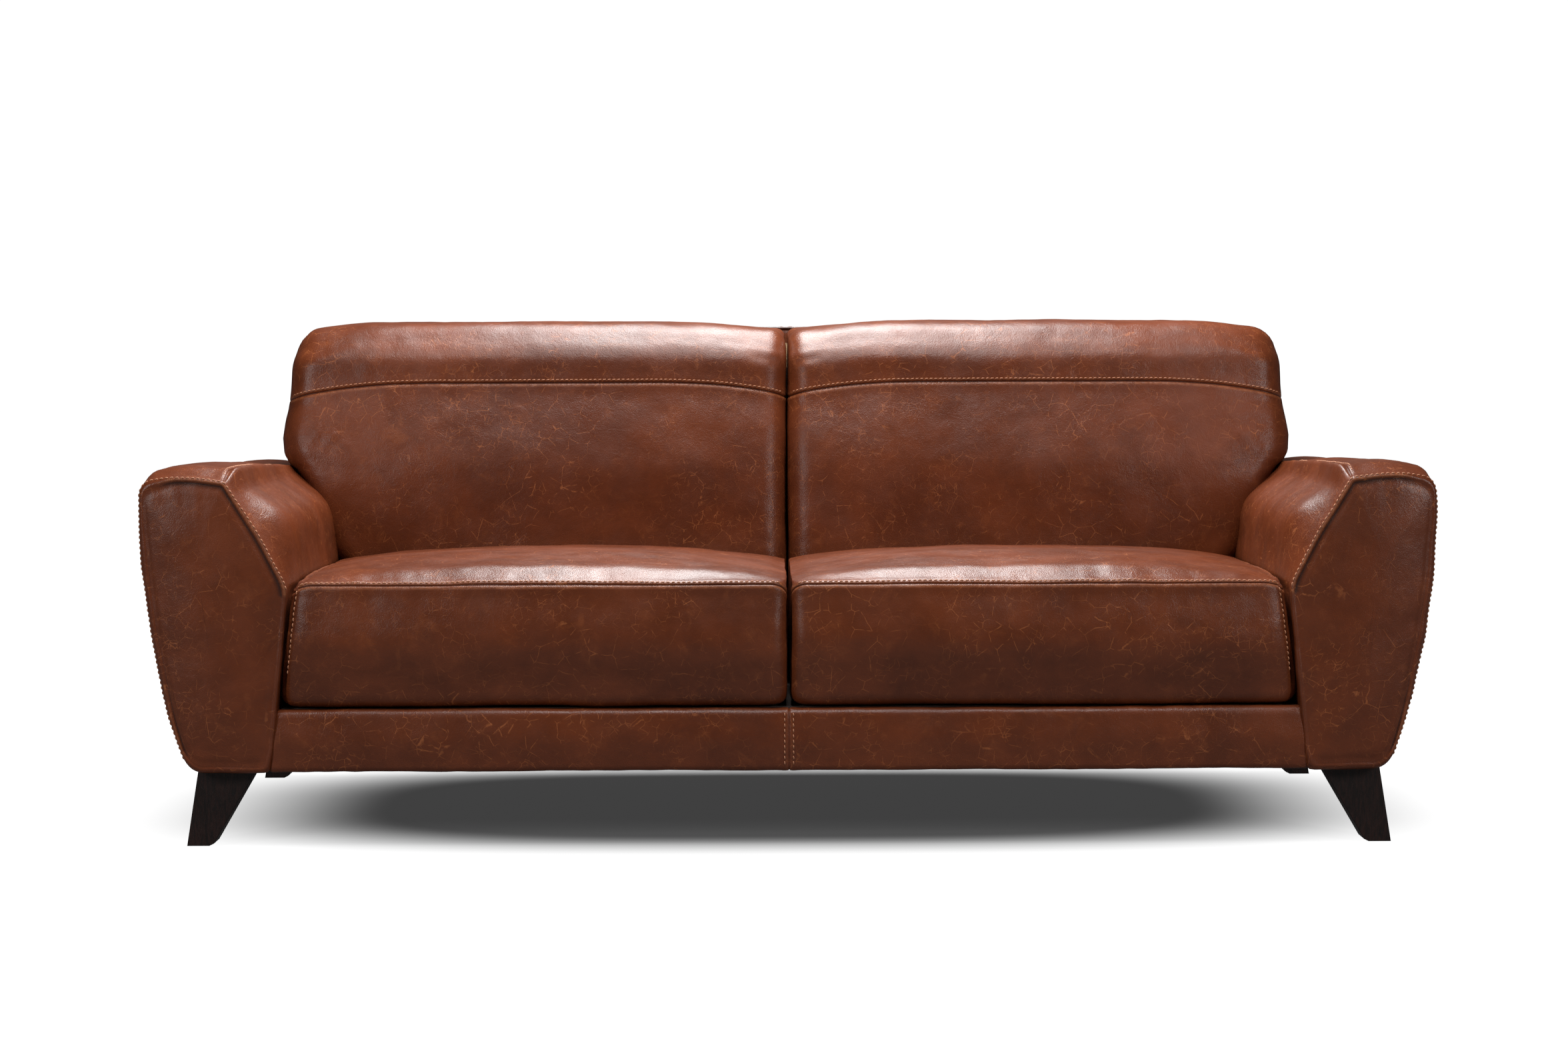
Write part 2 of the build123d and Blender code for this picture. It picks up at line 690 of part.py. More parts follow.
def make_back_frame():
    with BuildPart() as post:
        with BuildSketch(front_plane(0)):
            with BuildLine():
                Polyline(
                    (POST_INNER, BASE_Z + ARM_WRAP),
                    (POST_OUTER, BASE_Z + ARM_WRAP),
                    (POST_OUTER, ARM_THROAT[1] + 40),
                    (EAR_OUTER, EAR_Z),
                    (EAR_OUTER, POST_TOP_Z - 40),
                    (EAR_OUTER - 40, POST_TOP_Z),
                    (POST_INNER, POST_TOP_Z),
                    close=True,
                )
            make_face()
        extrude(amount=-FAR)
        slab = leaning_slab(POST_AT, POST_AT + POST_DEPTH, 0, POST_TOP_Z)
        extrude(slab, amount=FAR, mode=Mode.INTERSECT)
        bolt_holes()
        with Locations(*nut_pockets(BACK_BOLT_X)):
            Cylinder(12, POST_DEPTH, rotation=(90, 0, 0), mode=Mode.SUBTRACT)
    save_pair(post.part, "back_post")

    with BuildPart() as centre_post:
        with BuildSketch(front_plane(0)):
            with Locations((0, (BASE_Z + ARM_WRAP + POST_TOP_Z - 60) / 2)):
                Rectangle(2 * CENTRE_HALF, POST_TOP_Z - 60 - BASE_Z - ARM_WRAP)
        extrude(amount=-FAR)
        slab = leaning_slab(POST_AT, POST_AT + POST_DEPTH, 0, POST_TOP_Z)
        extrude(slab, amount=FAR, mode=Mode.INTERSECT)
        bolt_holes()
        with Locations(*nut_pockets(0)):
            Cylinder(12, POST_DEPTH, rotation=(90, 0, 0), mode=Mode.SUBTRACT)
    save(centre_post.part, "back_centre_post")

    for name, low_z, high_z in (("top", POST_TOP_Z - 60, POST_TOP_Z), ("lower", 250, 310)):
        halves = (-1, 1) if name == "lower" else (0,)
        length = POST_INNER - CENTRE_HALF if name == "lower" else 2 * POST_INNER
        with BuildPart() as rail:
            with BuildSketch(front_plane(0)):
                middle = (POST_INNER + CENTRE_HALF) / 2
                with Locations(*[(s * middle, (low_z + high_z) / 2) for s in halves]):
                    Rectangle(length, high_z - low_z)
            extrude(amount=-FAR)
            slab = leaning_slab(POST_AT, POST_AT + BOARD, low_z, high_z)
            extrude(slab, amount=FAR, mode=Mode.INTERSECT)
        save(rail.part, f"back_{name}_rail")

    # Elastic straps across the front of the posts
    strap = 60
    with BuildPart() as webbing:
        for i in range(6):
            low_z = 322 + 84 * i
            with BuildSketch(front_plane(0)):
                with Locations((0, low_z + strap / 2)):
                    Rectangle(2 * (POST_INNER + 34), strap)
            straps = extrude(amount=-FAR, mode=Mode.PRIVATE)
            slab = leaning_slab(POST_AT - 2, POST_AT - GAP, low_z, low_z + strap)
            add(straps & extrude(slab, amount=FAR, mode=Mode.PRIVATE))
    save(webbing.part, "back_webbing")


def nut_pockets(x):
    """Centres of the pockets behind the back bolts' nuts, open at the rear of a post."""
    depth = REAR_RAIL_AT + NUT_FROM_HEAD + POST_DEPTH / 2
    return [(x, depth_y(depth), z) for z in (150, 172)]


# ---------------------------------------------------------------- fasteners and legs


def make_fasteners():
    low = (Align.CENTER, Align.CENTER, Align.MIN)
    with BuildPart() as bolts:
        with Locations(*frame_bolt_places()):
            Cylinder(BOLT / 2, BOLT_LENGTH, align=low)
            Cylinder(8, BOLT_HEAD, align=(Align.CENTER, Align.CENTER, Align.MAX))
    save(bolts.part, "frame_bolts")

    with BuildPart() as nut:
        with BuildSketch(Plane.XY.offset(NUT_FROM_HEAD)):
            RegularPolygon(7.5, 6)
            Circle(BOLT / 2 + 0.05, mode=Mode.SUBTRACT)
        extrude(amount=NUT)
    with BuildPart() as nuts:
        with Locations(*frame_bolt_places()):
            add(nut.part)
    save(nuts.part, "frame_nuts")

    sides = (-1, 1)
    places = [(s * x, y) for s in sides for x, y, _ in leg_bolt_places(0)]
    with BuildPart() as hanger_bolts:
        with BuildSketch(Plane.XY.offset(BASE_Z - 35)):
            with Locations(*places):
                Circle(BOLT / 2)
        extrude(amount=67)
        chamfer(hanger_bolts.faces().sort_by(Axis.Z)[-4:].edges(), 1)
    save(hanger_bolts.part, "leg_bolts")

    board_top = BASE_Z + ARM_WRAP + BOARD
    with BuildPart() as tee_nuts:
        with BuildSketch(Plane.XY.offset(board_top)):
            with Locations(*places):
                Circle(TEE_FLANGE / 2)
        extrude(amount=1.6)
        with BuildSketch(Plane.XY.offset(board_top - 12)):
            with Locations(*places):
                Circle(TEE_BARREL / 2)
        extrude(amount=12)
        with BuildSketch(Plane.XY.offset(board_top - 12)):
            with Locations(*places):
                Circle(BOLT / 2 + 0.05)
        extrude(amount=20, mode=Mode.SUBTRACT)
    save(tee_nuts.part, "leg_tee_nuts")


def make_legs():
    for name, at in (("leg_front", FRONT_LEG_AT), ("leg_rear", REAR_LEG_AT)):
        with BuildPart() as leg:
            with BuildSketch(front_plane(at)):
                with BuildLine():
                    Polyline(
                        (LEG_TOP[0], BASE_Z),
                        (LEG_FOOT[0] - LEG_FOOT_CHAMFER, GLIDE + LEG_FOOT_CHAMFER / 2),
                        (LEG_FOOT[0], GLIDE),
                        (LEG_FOOT[1], GLIDE),
                        (LEG_TOP[1], BASE_Z),
                        close=True,
                    )
                make_face()
            extrude(amount=-LEG_THICKNESS)
            ends = leg.faces().filter_by(Axis.Y)
            sides = ends.edges().filter_by(lambda edge: edge.center().Z < BASE_Z - 1)
            fillet(sides, 1.5)
            hole = leg_bolt_places(BASE_Z)[0 if at == FRONT_LEG_AT else 1]
            with Locations(hole):
                Hole(BOLT / 2 + 0.05, depth=35)
        save_pair(leg.part, name)

    glide_x = (LEG_FOOT[0] + LEG_FOOT[1]) / 2
    with BuildPart() as glides:
        with BuildSketch(Plane.XY):
            for x in (-glide_x, glide_x):
                for at in (FRONT_LEG_AT, REAR_LEG_AT):
                    with Locations((x, depth_y(at + LEG_THICKNESS / 2))):
                        Circle(GLIDE_RADIUS)
        extrude(amount=GLIDE)
    save(glides.part, "leg_glides")


os.makedirs("parts", exist_ok=True)
make_arm_covers()
make_arm_padding()
make_arm_boards()
make_cushions(seat_block, "seat")
make_cushions(back_block, "back")
make_seat_trim()
make_front_rail_cover()
make_rails()
make_deck()
make_springs()
make_outside_back()
make_back_frame()
make_fasteners()
make_legs()
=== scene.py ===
"""Looks of the two-seat leather sofa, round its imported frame. Metres, in the frame's own axes."""

import json
import math

import bpy
import numpy as np
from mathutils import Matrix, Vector, noise


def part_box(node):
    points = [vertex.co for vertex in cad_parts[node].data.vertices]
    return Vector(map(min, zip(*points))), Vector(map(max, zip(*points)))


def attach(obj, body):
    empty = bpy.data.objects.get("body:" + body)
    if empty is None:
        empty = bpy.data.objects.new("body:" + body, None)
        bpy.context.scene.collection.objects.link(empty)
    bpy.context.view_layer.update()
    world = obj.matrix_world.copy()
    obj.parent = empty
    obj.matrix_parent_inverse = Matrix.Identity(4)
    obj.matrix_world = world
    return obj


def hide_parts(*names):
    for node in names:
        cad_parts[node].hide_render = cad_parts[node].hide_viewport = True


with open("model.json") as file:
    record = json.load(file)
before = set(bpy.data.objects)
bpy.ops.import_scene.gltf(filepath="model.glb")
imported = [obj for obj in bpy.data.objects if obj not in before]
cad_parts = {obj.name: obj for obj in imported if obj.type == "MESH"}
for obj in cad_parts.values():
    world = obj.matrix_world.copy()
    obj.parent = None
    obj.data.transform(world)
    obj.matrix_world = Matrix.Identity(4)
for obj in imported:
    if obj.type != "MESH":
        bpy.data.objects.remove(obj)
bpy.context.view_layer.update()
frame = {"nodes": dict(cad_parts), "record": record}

# Places that every piece is measured from
ARM_LOW, ARM_HIGH = (np.array(corner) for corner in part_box("arm_cover_right"))
SEAT_REAR_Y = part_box("seat_cover_right")[1][1]
BACK_REAR_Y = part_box("back_cover_right")[1][1]
OUTSIDE_LOW, OUTSIDE_HIGH = (np.array(corner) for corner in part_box("outside_back_cover"))
RAIL_LOW, RAIL_HIGH = (np.array(corner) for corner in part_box("front_rail_cover"))
FRONT_Y = ARM_LOW[1]  # depths are measured back from here
ARM_DEPTH = ARM_HIGH[1] - ARM_LOW[1]
BASE_Z = ARM_LOW[2]
LEAN = math.tan(math.radians(8.5))  # the back, from upright
LEAN_Z = 0.450  # where the back starts to lean
RAKE = math.tan(math.radians(3))  # the seat, from level
ROOT = "sofa_frame"

# Spacing of the mesh on both sides of a seam, so that its groove stays crisp
SEAM_STEPS = np.array([-10, -7.5, -5.5, -4, -2.8, -1.8, -0.9, 0, 0.9, 1.8, 2.8, 4, 5.5, 7.5, 10]) / 1000
SEAM_CLEAR = 0.012
ROUND_STATIONS = 8  # in the rounding at each end of a lofted skin
SEAT_CAP, BACK_CAP, ARM_CAP, PANEL_CAP = 8, 8, 12, 4  # stations in the flat cap before it
DOUBLE_ROW = 0.0068  # from a double-stitched seam to each of its rows
ARM_RIDGE = (0.9460, 0.6240)  # X and Z of the seam along the arm's inner top edge

# Leather colours
LEATHER_DARK = (0.076, 0.0168, 0.0053, 1)
LEATHER_MID = (0.120, 0.0268, 0.0080, 1)
LEATHER_WORN = (0.230, 0.064, 0.019, 1)
LEATHER_VEIN = (0.42, 0.135, 0.042, 1)
# beside a seam: rubbed leather and a painted highlight
LEATHER_RUB_AND_HIGHLIGHT = (0.33, 0.115, 0.045, 1)
# painted shade in the groove of a seam
LEATHER_GROOVE_SHADE = (0.018, 0.006, 0.004, 1)
WELT_DARK = (0.020, 0.008, 0.006, 1)
WELT_MID = (0.045, 0.016, 0.010, 1)


# ---------------------------------------------------------------- small helpers


def smooth(x):
    x = np.clip(x, 0, 1)
    return x * x * (3 - 2 * x)


def bump_at(x, centre, width):
    return np.exp(-(((x - centre) / width) ** 2))


def leaned(depth, z):
    return depth + np.maximum(0, z - LEAN_Z) * LEAN


def fractal(points, scale, seed, octaves=3):
    """Smooth noise at each point, about -1 to 1."""
    shift = Vector((seed * 3.17, seed * 1.71, seed * 2.39))
    flat = points.reshape(-1, 3)
    values = [
        noise.fractal(Vector(p) * scale + shift, 1.0, 2.0, octaves, noise_basis="PERLIN_ORIGINAL")
        for p in flat
    ]
    return np.array(values).reshape(points.shape[:-1])


def along(distances, mark, length):
    """Signed distance along a closed outline from a mark."""
    return (distances - mark + length / 2) % length - length / 2


def outline(corners, step, seam=None):
    """Closed outline through rounded corners (a, b, radius), with close points beside the seam.

    Returns the points, and the signed distance of each along the outline from the seam.
    """
    points = []
    count = len(corners)
    for i in range(count):
        here = np.array(corners[i][:2])
        before = np.array(corners[i - 1][:2]) - here
        after = np.array(corners[(i + 1) % count][:2]) - here
        to_before = before / np.linalg.norm(before)
        to_after = after / np.linalg.norm(after)
        half = math.acos(np.clip(to_before @ to_after, -1, 1)) / 2
        cut = min(
            corners[i][2] / math.tan(half),
            0.48 * np.linalg.norm(before),
            0.48 * np.linalg.norm(after),
        )
        start = here + to_before * cut
        end = here + to_after * cut
        for t in np.linspace(0, 1, 9):
            # a conic through the two tangent points, close to an arc
            weight = math.sin(half)
            near_start, near_corner, near_end = (1 - t) ** 2, 2 * weight * t * (1 - t), t**2
            blend = near_start * start + near_corner * here + near_end * end
            points.append(blend / (near_start + near_corner + near_end))
    points = np.array(points)
    closed = np.vstack([points, points[:1]])
    run = np.concatenate([[0], np.cumsum(np.linalg.norm(np.diff(closed, axis=0), axis=1))])
    length = run[-1]
    places = list(np.linspace(0, length, int(length / step), endpoint=False))
    mark = 0.0
    if seam is not None:
        mark = run[np.argmin(np.linalg.norm(points - np.array(seam), axis=1))]
        places = [s for s in places if abs(along(s, mark, length)) > SEAM_CLEAR]
        places += list((mark + SEAM_STEPS) % length)
    places = np.array(sorted(places))
    a = np.interp(places, run, closed[:, 0])
    b = np.interp(places, run, closed[:, 1])
    return np.stack([a, b], axis=1), along(places, mark, length)


def inner_points(ring, spine):
    """For each outline point, the nearest point of a two-point spine."""
    a, b = np.array(spine[0]), np.array(spine[1])
    t = np.clip(((ring - a) @ (b - a)) / ((b - a) @ (b - a)), 0, 1)
    return a + t[:, None] * (b - a)


def end_steps(cap_stations):
    """(angle, closeness to the spine) from the middle of an end cap out to the body."""
    caps = [(math.pi / 2, q) for q in np.linspace(0.97, 0, cap_stations, endpoint=False)]
    rounds = [(angle, 0.0) for angle in np.linspace(math.pi / 2, 0, ROUND_STATIONS)]
    return caps + rounds


def loft(ring, spine, low, high, low_radius, high_radius, step, cap_stations, bulge=(0, 0), seam=None):
    """A closed skin along an axis: returns the outline at each station and its axis positions.

    low, high and the radii are one value for each outline point, or one for all. bulge is how far
    the two end caps swell. seam is an axis position that gets stations close together.
    """
    count = len(ring)
    low, high = np.broadcast_to(low, count), np.broadcast_to(high, count)
    low_radius = np.broadcast_to(low_radius, count)
    high_radius = np.broadcast_to(high_radius, count)
    core = inner_points(ring, spine)
    inward = core - ring
    reach = np.linalg.norm(inward, axis=1, keepdims=True)
    inward = inward / np.maximum(reach, 1e-6)

    def end(angle, q, limit, radius, sign, swell):
        inset = radius * (1 - math.cos(angle))
        edge = ring + inward * inset[:, None]
        flat = edge + (core - edge) * q
        place = limit + sign * radius * (1 - math.sin(angle)) - sign * swell * (1 - (1 - q) ** 2)
        return flat, place

    rings, places = [], []
    steps = end_steps(cap_stations)
    for angle, q in steps:
        flat, place = end(angle, q, low, low_radius, 1, bulge[0])
        rings.append(flat)
        places.append(place)
    start, stop = low + low_radius, high - high_radius
    span = float(np.mean(stop - start))
    fractions = list(np.linspace(0, 1, max(2, int(span / step)) + 1)[1:-1])
    if seam is not None:
        middle = (seam - float(np.mean(start))) / span
        fractions = [f for f in fractions if abs(f - middle) > SEAM_CLEAR / span]
        fractions += list(middle + SEAM_STEPS / span)
    for fraction in sorted(fractions):
        rings.append(ring)
        places.append(start + (stop - start) * fraction)
    for angle, q in reversed(steps):
        flat, place = end(angle, q, high, high_radius, -1, bulge[1])
        rings.append(flat)
        places.append(place)
    return np.array(rings), np.array(places)


def normals_of(points):
    """Outward normals of a lofted skin, station by station."""
    around = np.roll(points, -1, axis=1) - np.roll(points, 1, axis=1)
    lengthwise = np.gradient(points, axis=0)
    normal = np.cross(lengthwise, around)
    normal /= np.maximum(np.linalg.norm(normal, axis=2, keepdims=True), 1e-9)
    outward = points - points.mean(axis=(0, 1))
    if np.sum(normal * outward) < 0:
        normal = -normal
    return normal


def mesh_normals(mesh, indices):
    return np.array([mesh.vertices[int(i)].normal[:] for i in indices])


def add_piece(name, data, body):
    """Put a piece of leather work in the scene, riding on a body."""
    piece = bpy.data.objects.new(name, data)
    bpy.context.scene.collection.objects.link(piece)
    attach(piece, body)
    return piece


def mesh_piece(name, points, body, seam):
    """Turn a lofted skin into a smooth leather piece; seam says how near a seam each point is."""
    stations, count = points.shape[:2]
    index = np.arange(stations * count).reshape(stations, count)
    around = np.roll(index, -1, axis=1)
    quads = np.stack([index[:-1], around[:-1], around[1:], index[1:]], axis=-1).reshape(-1, 4)
    faces = [tuple(q) for q in quads.tolist()]
    faces.append(tuple(reversed(index[0].tolist())))
    faces.append(tuple(index[-1].tolist()))
    mesh = bpy.data.meshes.new(name)
    mesh.from_pydata(points.reshape(-1, 3).tolist(), [], faces)
    mesh.update()
    agreement = np.sum(normals_of(points)[stations // 2] * mesh_normals(mesh, index[stations // 2]))
    if agreement < 0:
        mesh.flip_normals()
    mesh.polygons.foreach_set("use_smooth", [True] * len(mesh.polygons))
    # the seam value drives the painted highlight beside a seam and the painted shade in its groove
    layer = mesh.attributes.new("seam", "FLOAT", "POINT")
    layer.data.foreach_set("value", np.clip(seam, -1, 1).reshape(-1).astype(np.float32))
    mesh.materials.append(LEATHER)
    return add_piece(name, mesh, body)


def between(distance, run, rows):
    """The row of values at a distance along a path."""
    return np.array([np.interp(distance, run, column) for column in rows.T])


def stitch_row(name, path, normals, body):
    """A row of short thread stitches lying on a surface along a path."""
    pitch, length, thread = 0.0088, 0.0062, 0.00105
    look_ahead = 0.003  # for the direction of the row
    slant = 0.12
    sides = 6
    rings = [(-1, 0.25), (-0.8, 0.8), (-0.3, 1), (0.3, 1), (0.8, 0.8), (1, 0.25)]  # (place, width)
    run = np.concatenate([[0], np.cumsum(np.linalg.norm(np.diff(path, axis=0), axis=1))])
    total = run[-1]
    count = int(total / pitch)
    vertices, faces = [], []
    for i in range(count):
        middle = (i + 0.5) * total / count
        place = between(middle, run, path)
        ahead = between(middle + look_ahead, run, path)
        behind = between(middle - look_ahead, run, path)
        up = between(middle, run, normals)
        up /= np.linalg.norm(up)
        forward = ahead - behind
        forward -= up * (forward @ up)
        forward /= max(np.linalg.norm(forward), 1e-9)
        side = np.cross(up, forward)
        forward = forward + slant * side
        base = len(vertices)
        for t, width in rings:
            # the ends dip into their needle holes
            centre = place + forward * t * length / 2 + up * thread * (0.55 - t**4)
            for k in range(sides):
                angle = 2 * math.pi * k / sides
                spread = side * math.cos(angle) + up * math.sin(angle)
                vertices.append(centre + spread * thread * width)
        for r in range(len(rings) - 1):
            for k in range(sides):
                n = (k + 1) % sides
                near, far = base + r * sides, base + (r + 1) * sides
                faces.append((near + k, near + n, far + n, far + k))
        faces.append(tuple(base + k for k in reversed(range(sides))))
        faces.append(tuple(base + (len(rings) - 1) * sides + k for k in range(sides)))
    mesh = bpy.data.meshes.new(name)
    mesh.from_pydata([tuple(v) for v in vertices], [], faces)
    mesh.polygons.foreach_set("use_smooth", [True] * len(mesh.polygons))
    mesh.materials.append(THREAD)
    add_piece(name, mesh, body)


# ---------------------------------------------------------------- materials


class Nodes:
    """Short hand for building one node material."""

    def __init__(self, name):
        self.material = bpy.data.materials.new(name)
        self.material.use_nodes = True
        self.tree = self.material.node_tree
        self.tree.nodes.clear()
        self.shader = self.tree.nodes.new("ShaderNodeBsdfPrincipled")
        output = self.tree.nodes.new("ShaderNodeOutputMaterial")
        self.tree.links.new(self.shader.outputs[0], output.inputs[0])
        self.place = self.tree.nodes.new("ShaderNodeTexCoord").outputs["Object"]

    def link(self, value, socket):
        if isinstance(value, bpy.types.NodeSocket):
            self.tree.links.new(value, socket)
        else:
            socket.default_value = value

    def noise(self, scale, detail=3, roughness=0.55, distortion=0.0, place=None):
        node = self.tree.nodes.new("ShaderNodeTexNoise")
        self.link(place or self.place, node.inputs["Vector"])
        node.inputs["Scale"].default_value = scale
        node.inputs["Detail"].default_value = detail
        node.inputs["Roughness"].default_value = roughness
        node.inputs["Distortion"].default_value = distortion
        return node.outputs[0]

    def noise_colour(self, scale, detail=2):
        node = self.tree.nodes.new("ShaderNodeTexNoise")
        self.link(self.place, node.inputs["Vector"])
        node.inputs["Scale"].default_value = scale
        node.inputs["Detail"].default_value = detail
        return node.outputs[1]

    def cells(self, scale, feature="DISTANCE_TO_EDGE", place=None):
        node = self.tree.nodes.new("ShaderNodeTexVoronoi")
        node.feature = feature
        self.link(place or self.place, node.inputs["Vector"])
        node.inputs["Scale"].default_value = scale
        return node.outputs["Distance"]

    def math(self, operation, a, b=0.0, clamp=False):
        node = self.tree.nodes.new("ShaderNodeMath")
        node.operation = operation
        node.use_clamp = clamp
        self.link(a, node.inputs[0])
        self.link(b, node.inputs[1])
        return node.outputs[0]

    def vector(self, operation, a, b):
        node = self.tree.nodes.new("ShaderNodeVectorMath")
        node.operation = operation
        self.link(a, node.inputs[0])
        self.link(b, node.inputs[1])
        return node.outputs[0]

    def fit(self, value, low, high, to_low=0.0, to_high=1.0):
        node = self.tree.nodes.new("ShaderNodeMapRange")
        node.interpolation_type = "SMOOTHSTEP"
        self.link(value, node.inputs["Value"])
        node.inputs["From Min"].default_value = low
        node.inputs["From Max"].default_value = high
        node.inputs["To Min"].default_value = to_low
        node.inputs["To Max"].default_value = to_high
        return node.outputs[0]

    def mix(self, factor, a, b):
        node = self.tree.nodes.new("ShaderNodeMix")
        node.data_type = "RGBA"
        self.link(factor, node.inputs[0])
        self.link(a, node.inputs[6])
        self.link(b, node.inputs[7])
        return node.outputs[2]

    def bump(self, height, distance, strength=1.0, normal=None):
        node = self.tree.nodes.new("ShaderNodeBump")
        node.inputs["Strength"].default_value = strength
        node.inputs["Distance"].default_value = distance
        self.link(height, node.inputs["Height"])
        if normal is not None:
            self.link(normal, node.inputs["Normal"])
        return node.outputs[0]

    def attribute(self, name):
        node = self.tree.nodes.new("ShaderNodeAttribute")
        node.attribute_name = name
        return node.outputs["Fac"]

    def stretched(self, x, y, z):
        return self.vector("MULTIPLY", self.place, (x, y, z))


def leather_material(name, dark, mid):
    """Pull-up leather: mottled brown, paler veins and cracks where it has been stretched."""
    n = Nodes(name)
    wander = n.vector("MULTIPLY", n.noise_colour(7, 2), (0.045, 0.045, 0.045))
    fine_wander = n.vector("MULTIPLY", n.noise_colour(45, 2), (0.005, 0.005, 0.005))
    bent = n.vector("ADD", n.place, wander)
    bent = n.vector("ADD", bent, fine_wander)
    cloud = n.noise(4.6, 4, 0.6, 0.4)
    mottle = n.noise(17, 5, 0.65, 0.3)
    tone = n.fit(n.math("ADD", cloud, n.math("MULTIPLY", mottle, 0.6)), 0.55, 1.08)
    base = n.mix(tone, dark, mid)
    # long fine veins, in patches
    veins = n.math("SUBTRACT", 1.0, n.fit(n.cells(30, place=bent), 0.0, 0.022))
    small_veins = n.math("SUBTRACT", 1.0, n.fit(n.cells(70, place=bent), 0.0, 0.035))
    patch = n.fit(n.noise(6.5, 3, 0.6), 0.42, 0.60)
    small_patch = n.fit(n.noise(11, 4, 0.6), 0.44, 0.62)
    broken = n.fit(n.noise(75, 2, 0.5), 0.42, 0.58)
    vein_mask = n.math("MULTIPLY", n.math("MULTIPLY", veins, patch), broken)
    small_mask = n.math("MULTIPLY", n.math("MULTIPLY", small_veins, small_patch), broken)
    marks = n.math("ADD", n.math("MULTIPLY", vein_mask, 0.38), n.math("MULTIPLY", small_mask, 0.34), True)
    worn = n.fit(n.noise(24, 6, 0.7, 0.6), 0.52, 0.80, 0.0, 0.34)
    base = n.mix(worn, base, LEATHER_WORN)
    base = n.mix(marks, base, LEATHER_VEIN)
    seam = n.attribute("seam")
    # beside a seam the leather is painted paler, partly as rubbed leather and partly as a painted highlight
    # on the seam's roll; in its groove it is darkened with painted shade
    rub_and_highlight = n.math("MULTIPLY", n.fit(seam, 0.15, 0.9), n.fit(n.noise(120, 3), 0.35, 0.65, 0.35, 1.0))
    base = n.mix(n.math("MULTIPLY", rub_and_highlight, 0.40), base, LEATHER_RUB_AND_HIGHLIGHT)
    # painted shade darkens the seam's groove
    groove = n.fit(n.math("MULTIPLY", seam, -1.0), 0.1, 0.9)
    base = n.mix(n.math("MULTIPLY", groove, 0.9), base, LEATHER_GROOVE_SHADE)
    n.link(base, n.shader.inputs["Base Color"])
    rough = n.fit(n.noise(14, 4), 0.3, 0.7, 0.31, 0.40)
    n.link(n.math("ADD", rough, n.math("MULTIPLY", marks, 0.12)), n.shader.inputs["Roughness"])
    n.shader.inputs["Specular IOR Level"].default_value = 0.29
    grain = n.cells(620, "F1")
    pores = n.noise(340, 3, 0.6)
    height = n.math("ADD", n.math("MULTIPLY", grain, 0.55), n.math("MULTIPLY", pores, 0.8))
    height = n.math("SUBTRACT", height, n.math("MULTIPLY", marks, 0.35))
    soft = n.bump(n.noise(38, 4, 0.6, 0.5), 0.0016, 0.55)
    n.link(n.bump(height, 0.00045, 0.75, soft), n.shader.inputs["Normal"])
    return n.material


def thread_material():
    n = Nodes("seam_thread")
    twist = n.noise(900, 2)
    n.link(n.mix(twist, (0.24, 0.085, 0.038, 1), (0.47, 0.21, 0.11, 1)), n.shader.inputs["Base Color"])
    n.shader.inputs["Roughness"].default_value = 0.6
    n.link(n.bump(twist, 0.0003), n.shader.inputs["Normal"])
    return n.material


def wood_material(name, dark, light, rough, grain_scale):
    """Straight-grained timber with long pores, along the axis of the smallest scale."""
    n = Nodes(name)
    lines = n.noise(9, 6, 0.65, 1.2, place=n.stretched(*grain_scale))
    pores = n.noise(40, 2, 0.5, 0.2, place=n.stretched(*[s * 1.2 for s in grain_scale]))
    n.link(n.mix(n.fit(lines, 0.35, 0.68), dark, light), n.shader.inputs["Base Color"])
    n.link(n.fit(pores, 0.3, 0.7, rough, rough + 0.15), n.shader.inputs["Roughness"])
    n.shader.inputs["Specular IOR Level"].default_value = 0.3
    height = n.math("ADD", n.math("MULTIPLY", lines, 0.6), n.fit(pores, 0.52, 0.62, 0.0, -0.6))
    n.link(n.bump(height, 0.0004, 0.5), n.shader.inputs["Normal"])
    return n.material


def cloth_material(name, dark, light, threads=900):
    """A plain weave from two crossed waves, broken by noise."""
    n = Nodes(name)
    weave = []
    for axis in ("X", "Y"):
        wave = n.tree.nodes.new("ShaderNodeTexWave")
        wave.bands_direction = axis
        n.link(n.place, wave.inputs["Vector"])
        wave.inputs["Scale"].default_value = threads / 3
        wave.inputs["Distortion"].default_value = 0.6
        weave.append(wave.outputs["Fac"])
    cross = n.math("MULTIPLY", weave[0], weave[1])
    tone = n.math("ADD", n.math("MULTIPLY", cross, 0.6), n.math("MULTIPLY", n.noise(30, 4), 0.5))
    n.link(n.mix(tone, dark, light), n.shader.inputs["Base Color"])
    n.shader.inputs["Roughness"].default_value = 0.9
    n.link(n.bump(cross, 0.0004, 0.6), n.shader.inputs["Normal"])
    return n.material


def foam_material(name, colour, shade):
    n = Nodes(name)
    cells = n.cells(260, "F1")
    n.link(n.mix(n.fit(cells, 0.1, 0.7), colour, shade), n.shader.inputs["Base Color"])
    n.shader.inputs["Roughness"].default_value = 0.95
    n.link(n.bump(n.math("ADD", cells, n.noise(60, 4)), 0.0012, 0.6), n.shader.inputs["Normal"])
    return n.material


def metal_material(name, colour, rough):
    n = Nodes(name)
    scratch = n.noise(45, 5, 0.7, place=n.stretched(4, 30, 30))
    shade = tuple(c * 0.6 for c in colour[:3]) + (1,)
    n.link(n.mix(scratch, shade, colour), n.shader.inputs["Base Color"])
    n.shader.inputs["Metallic"].default_value = 1.0
    n.link(n.fit(scratch, 0.3, 0.7, rough, rough + 0.2), n.shader.inputs["Roughness"])
    n.link(n.bump(scratch, 0.0002, 0.3), n.shader.inputs["Normal"])
    return n.material


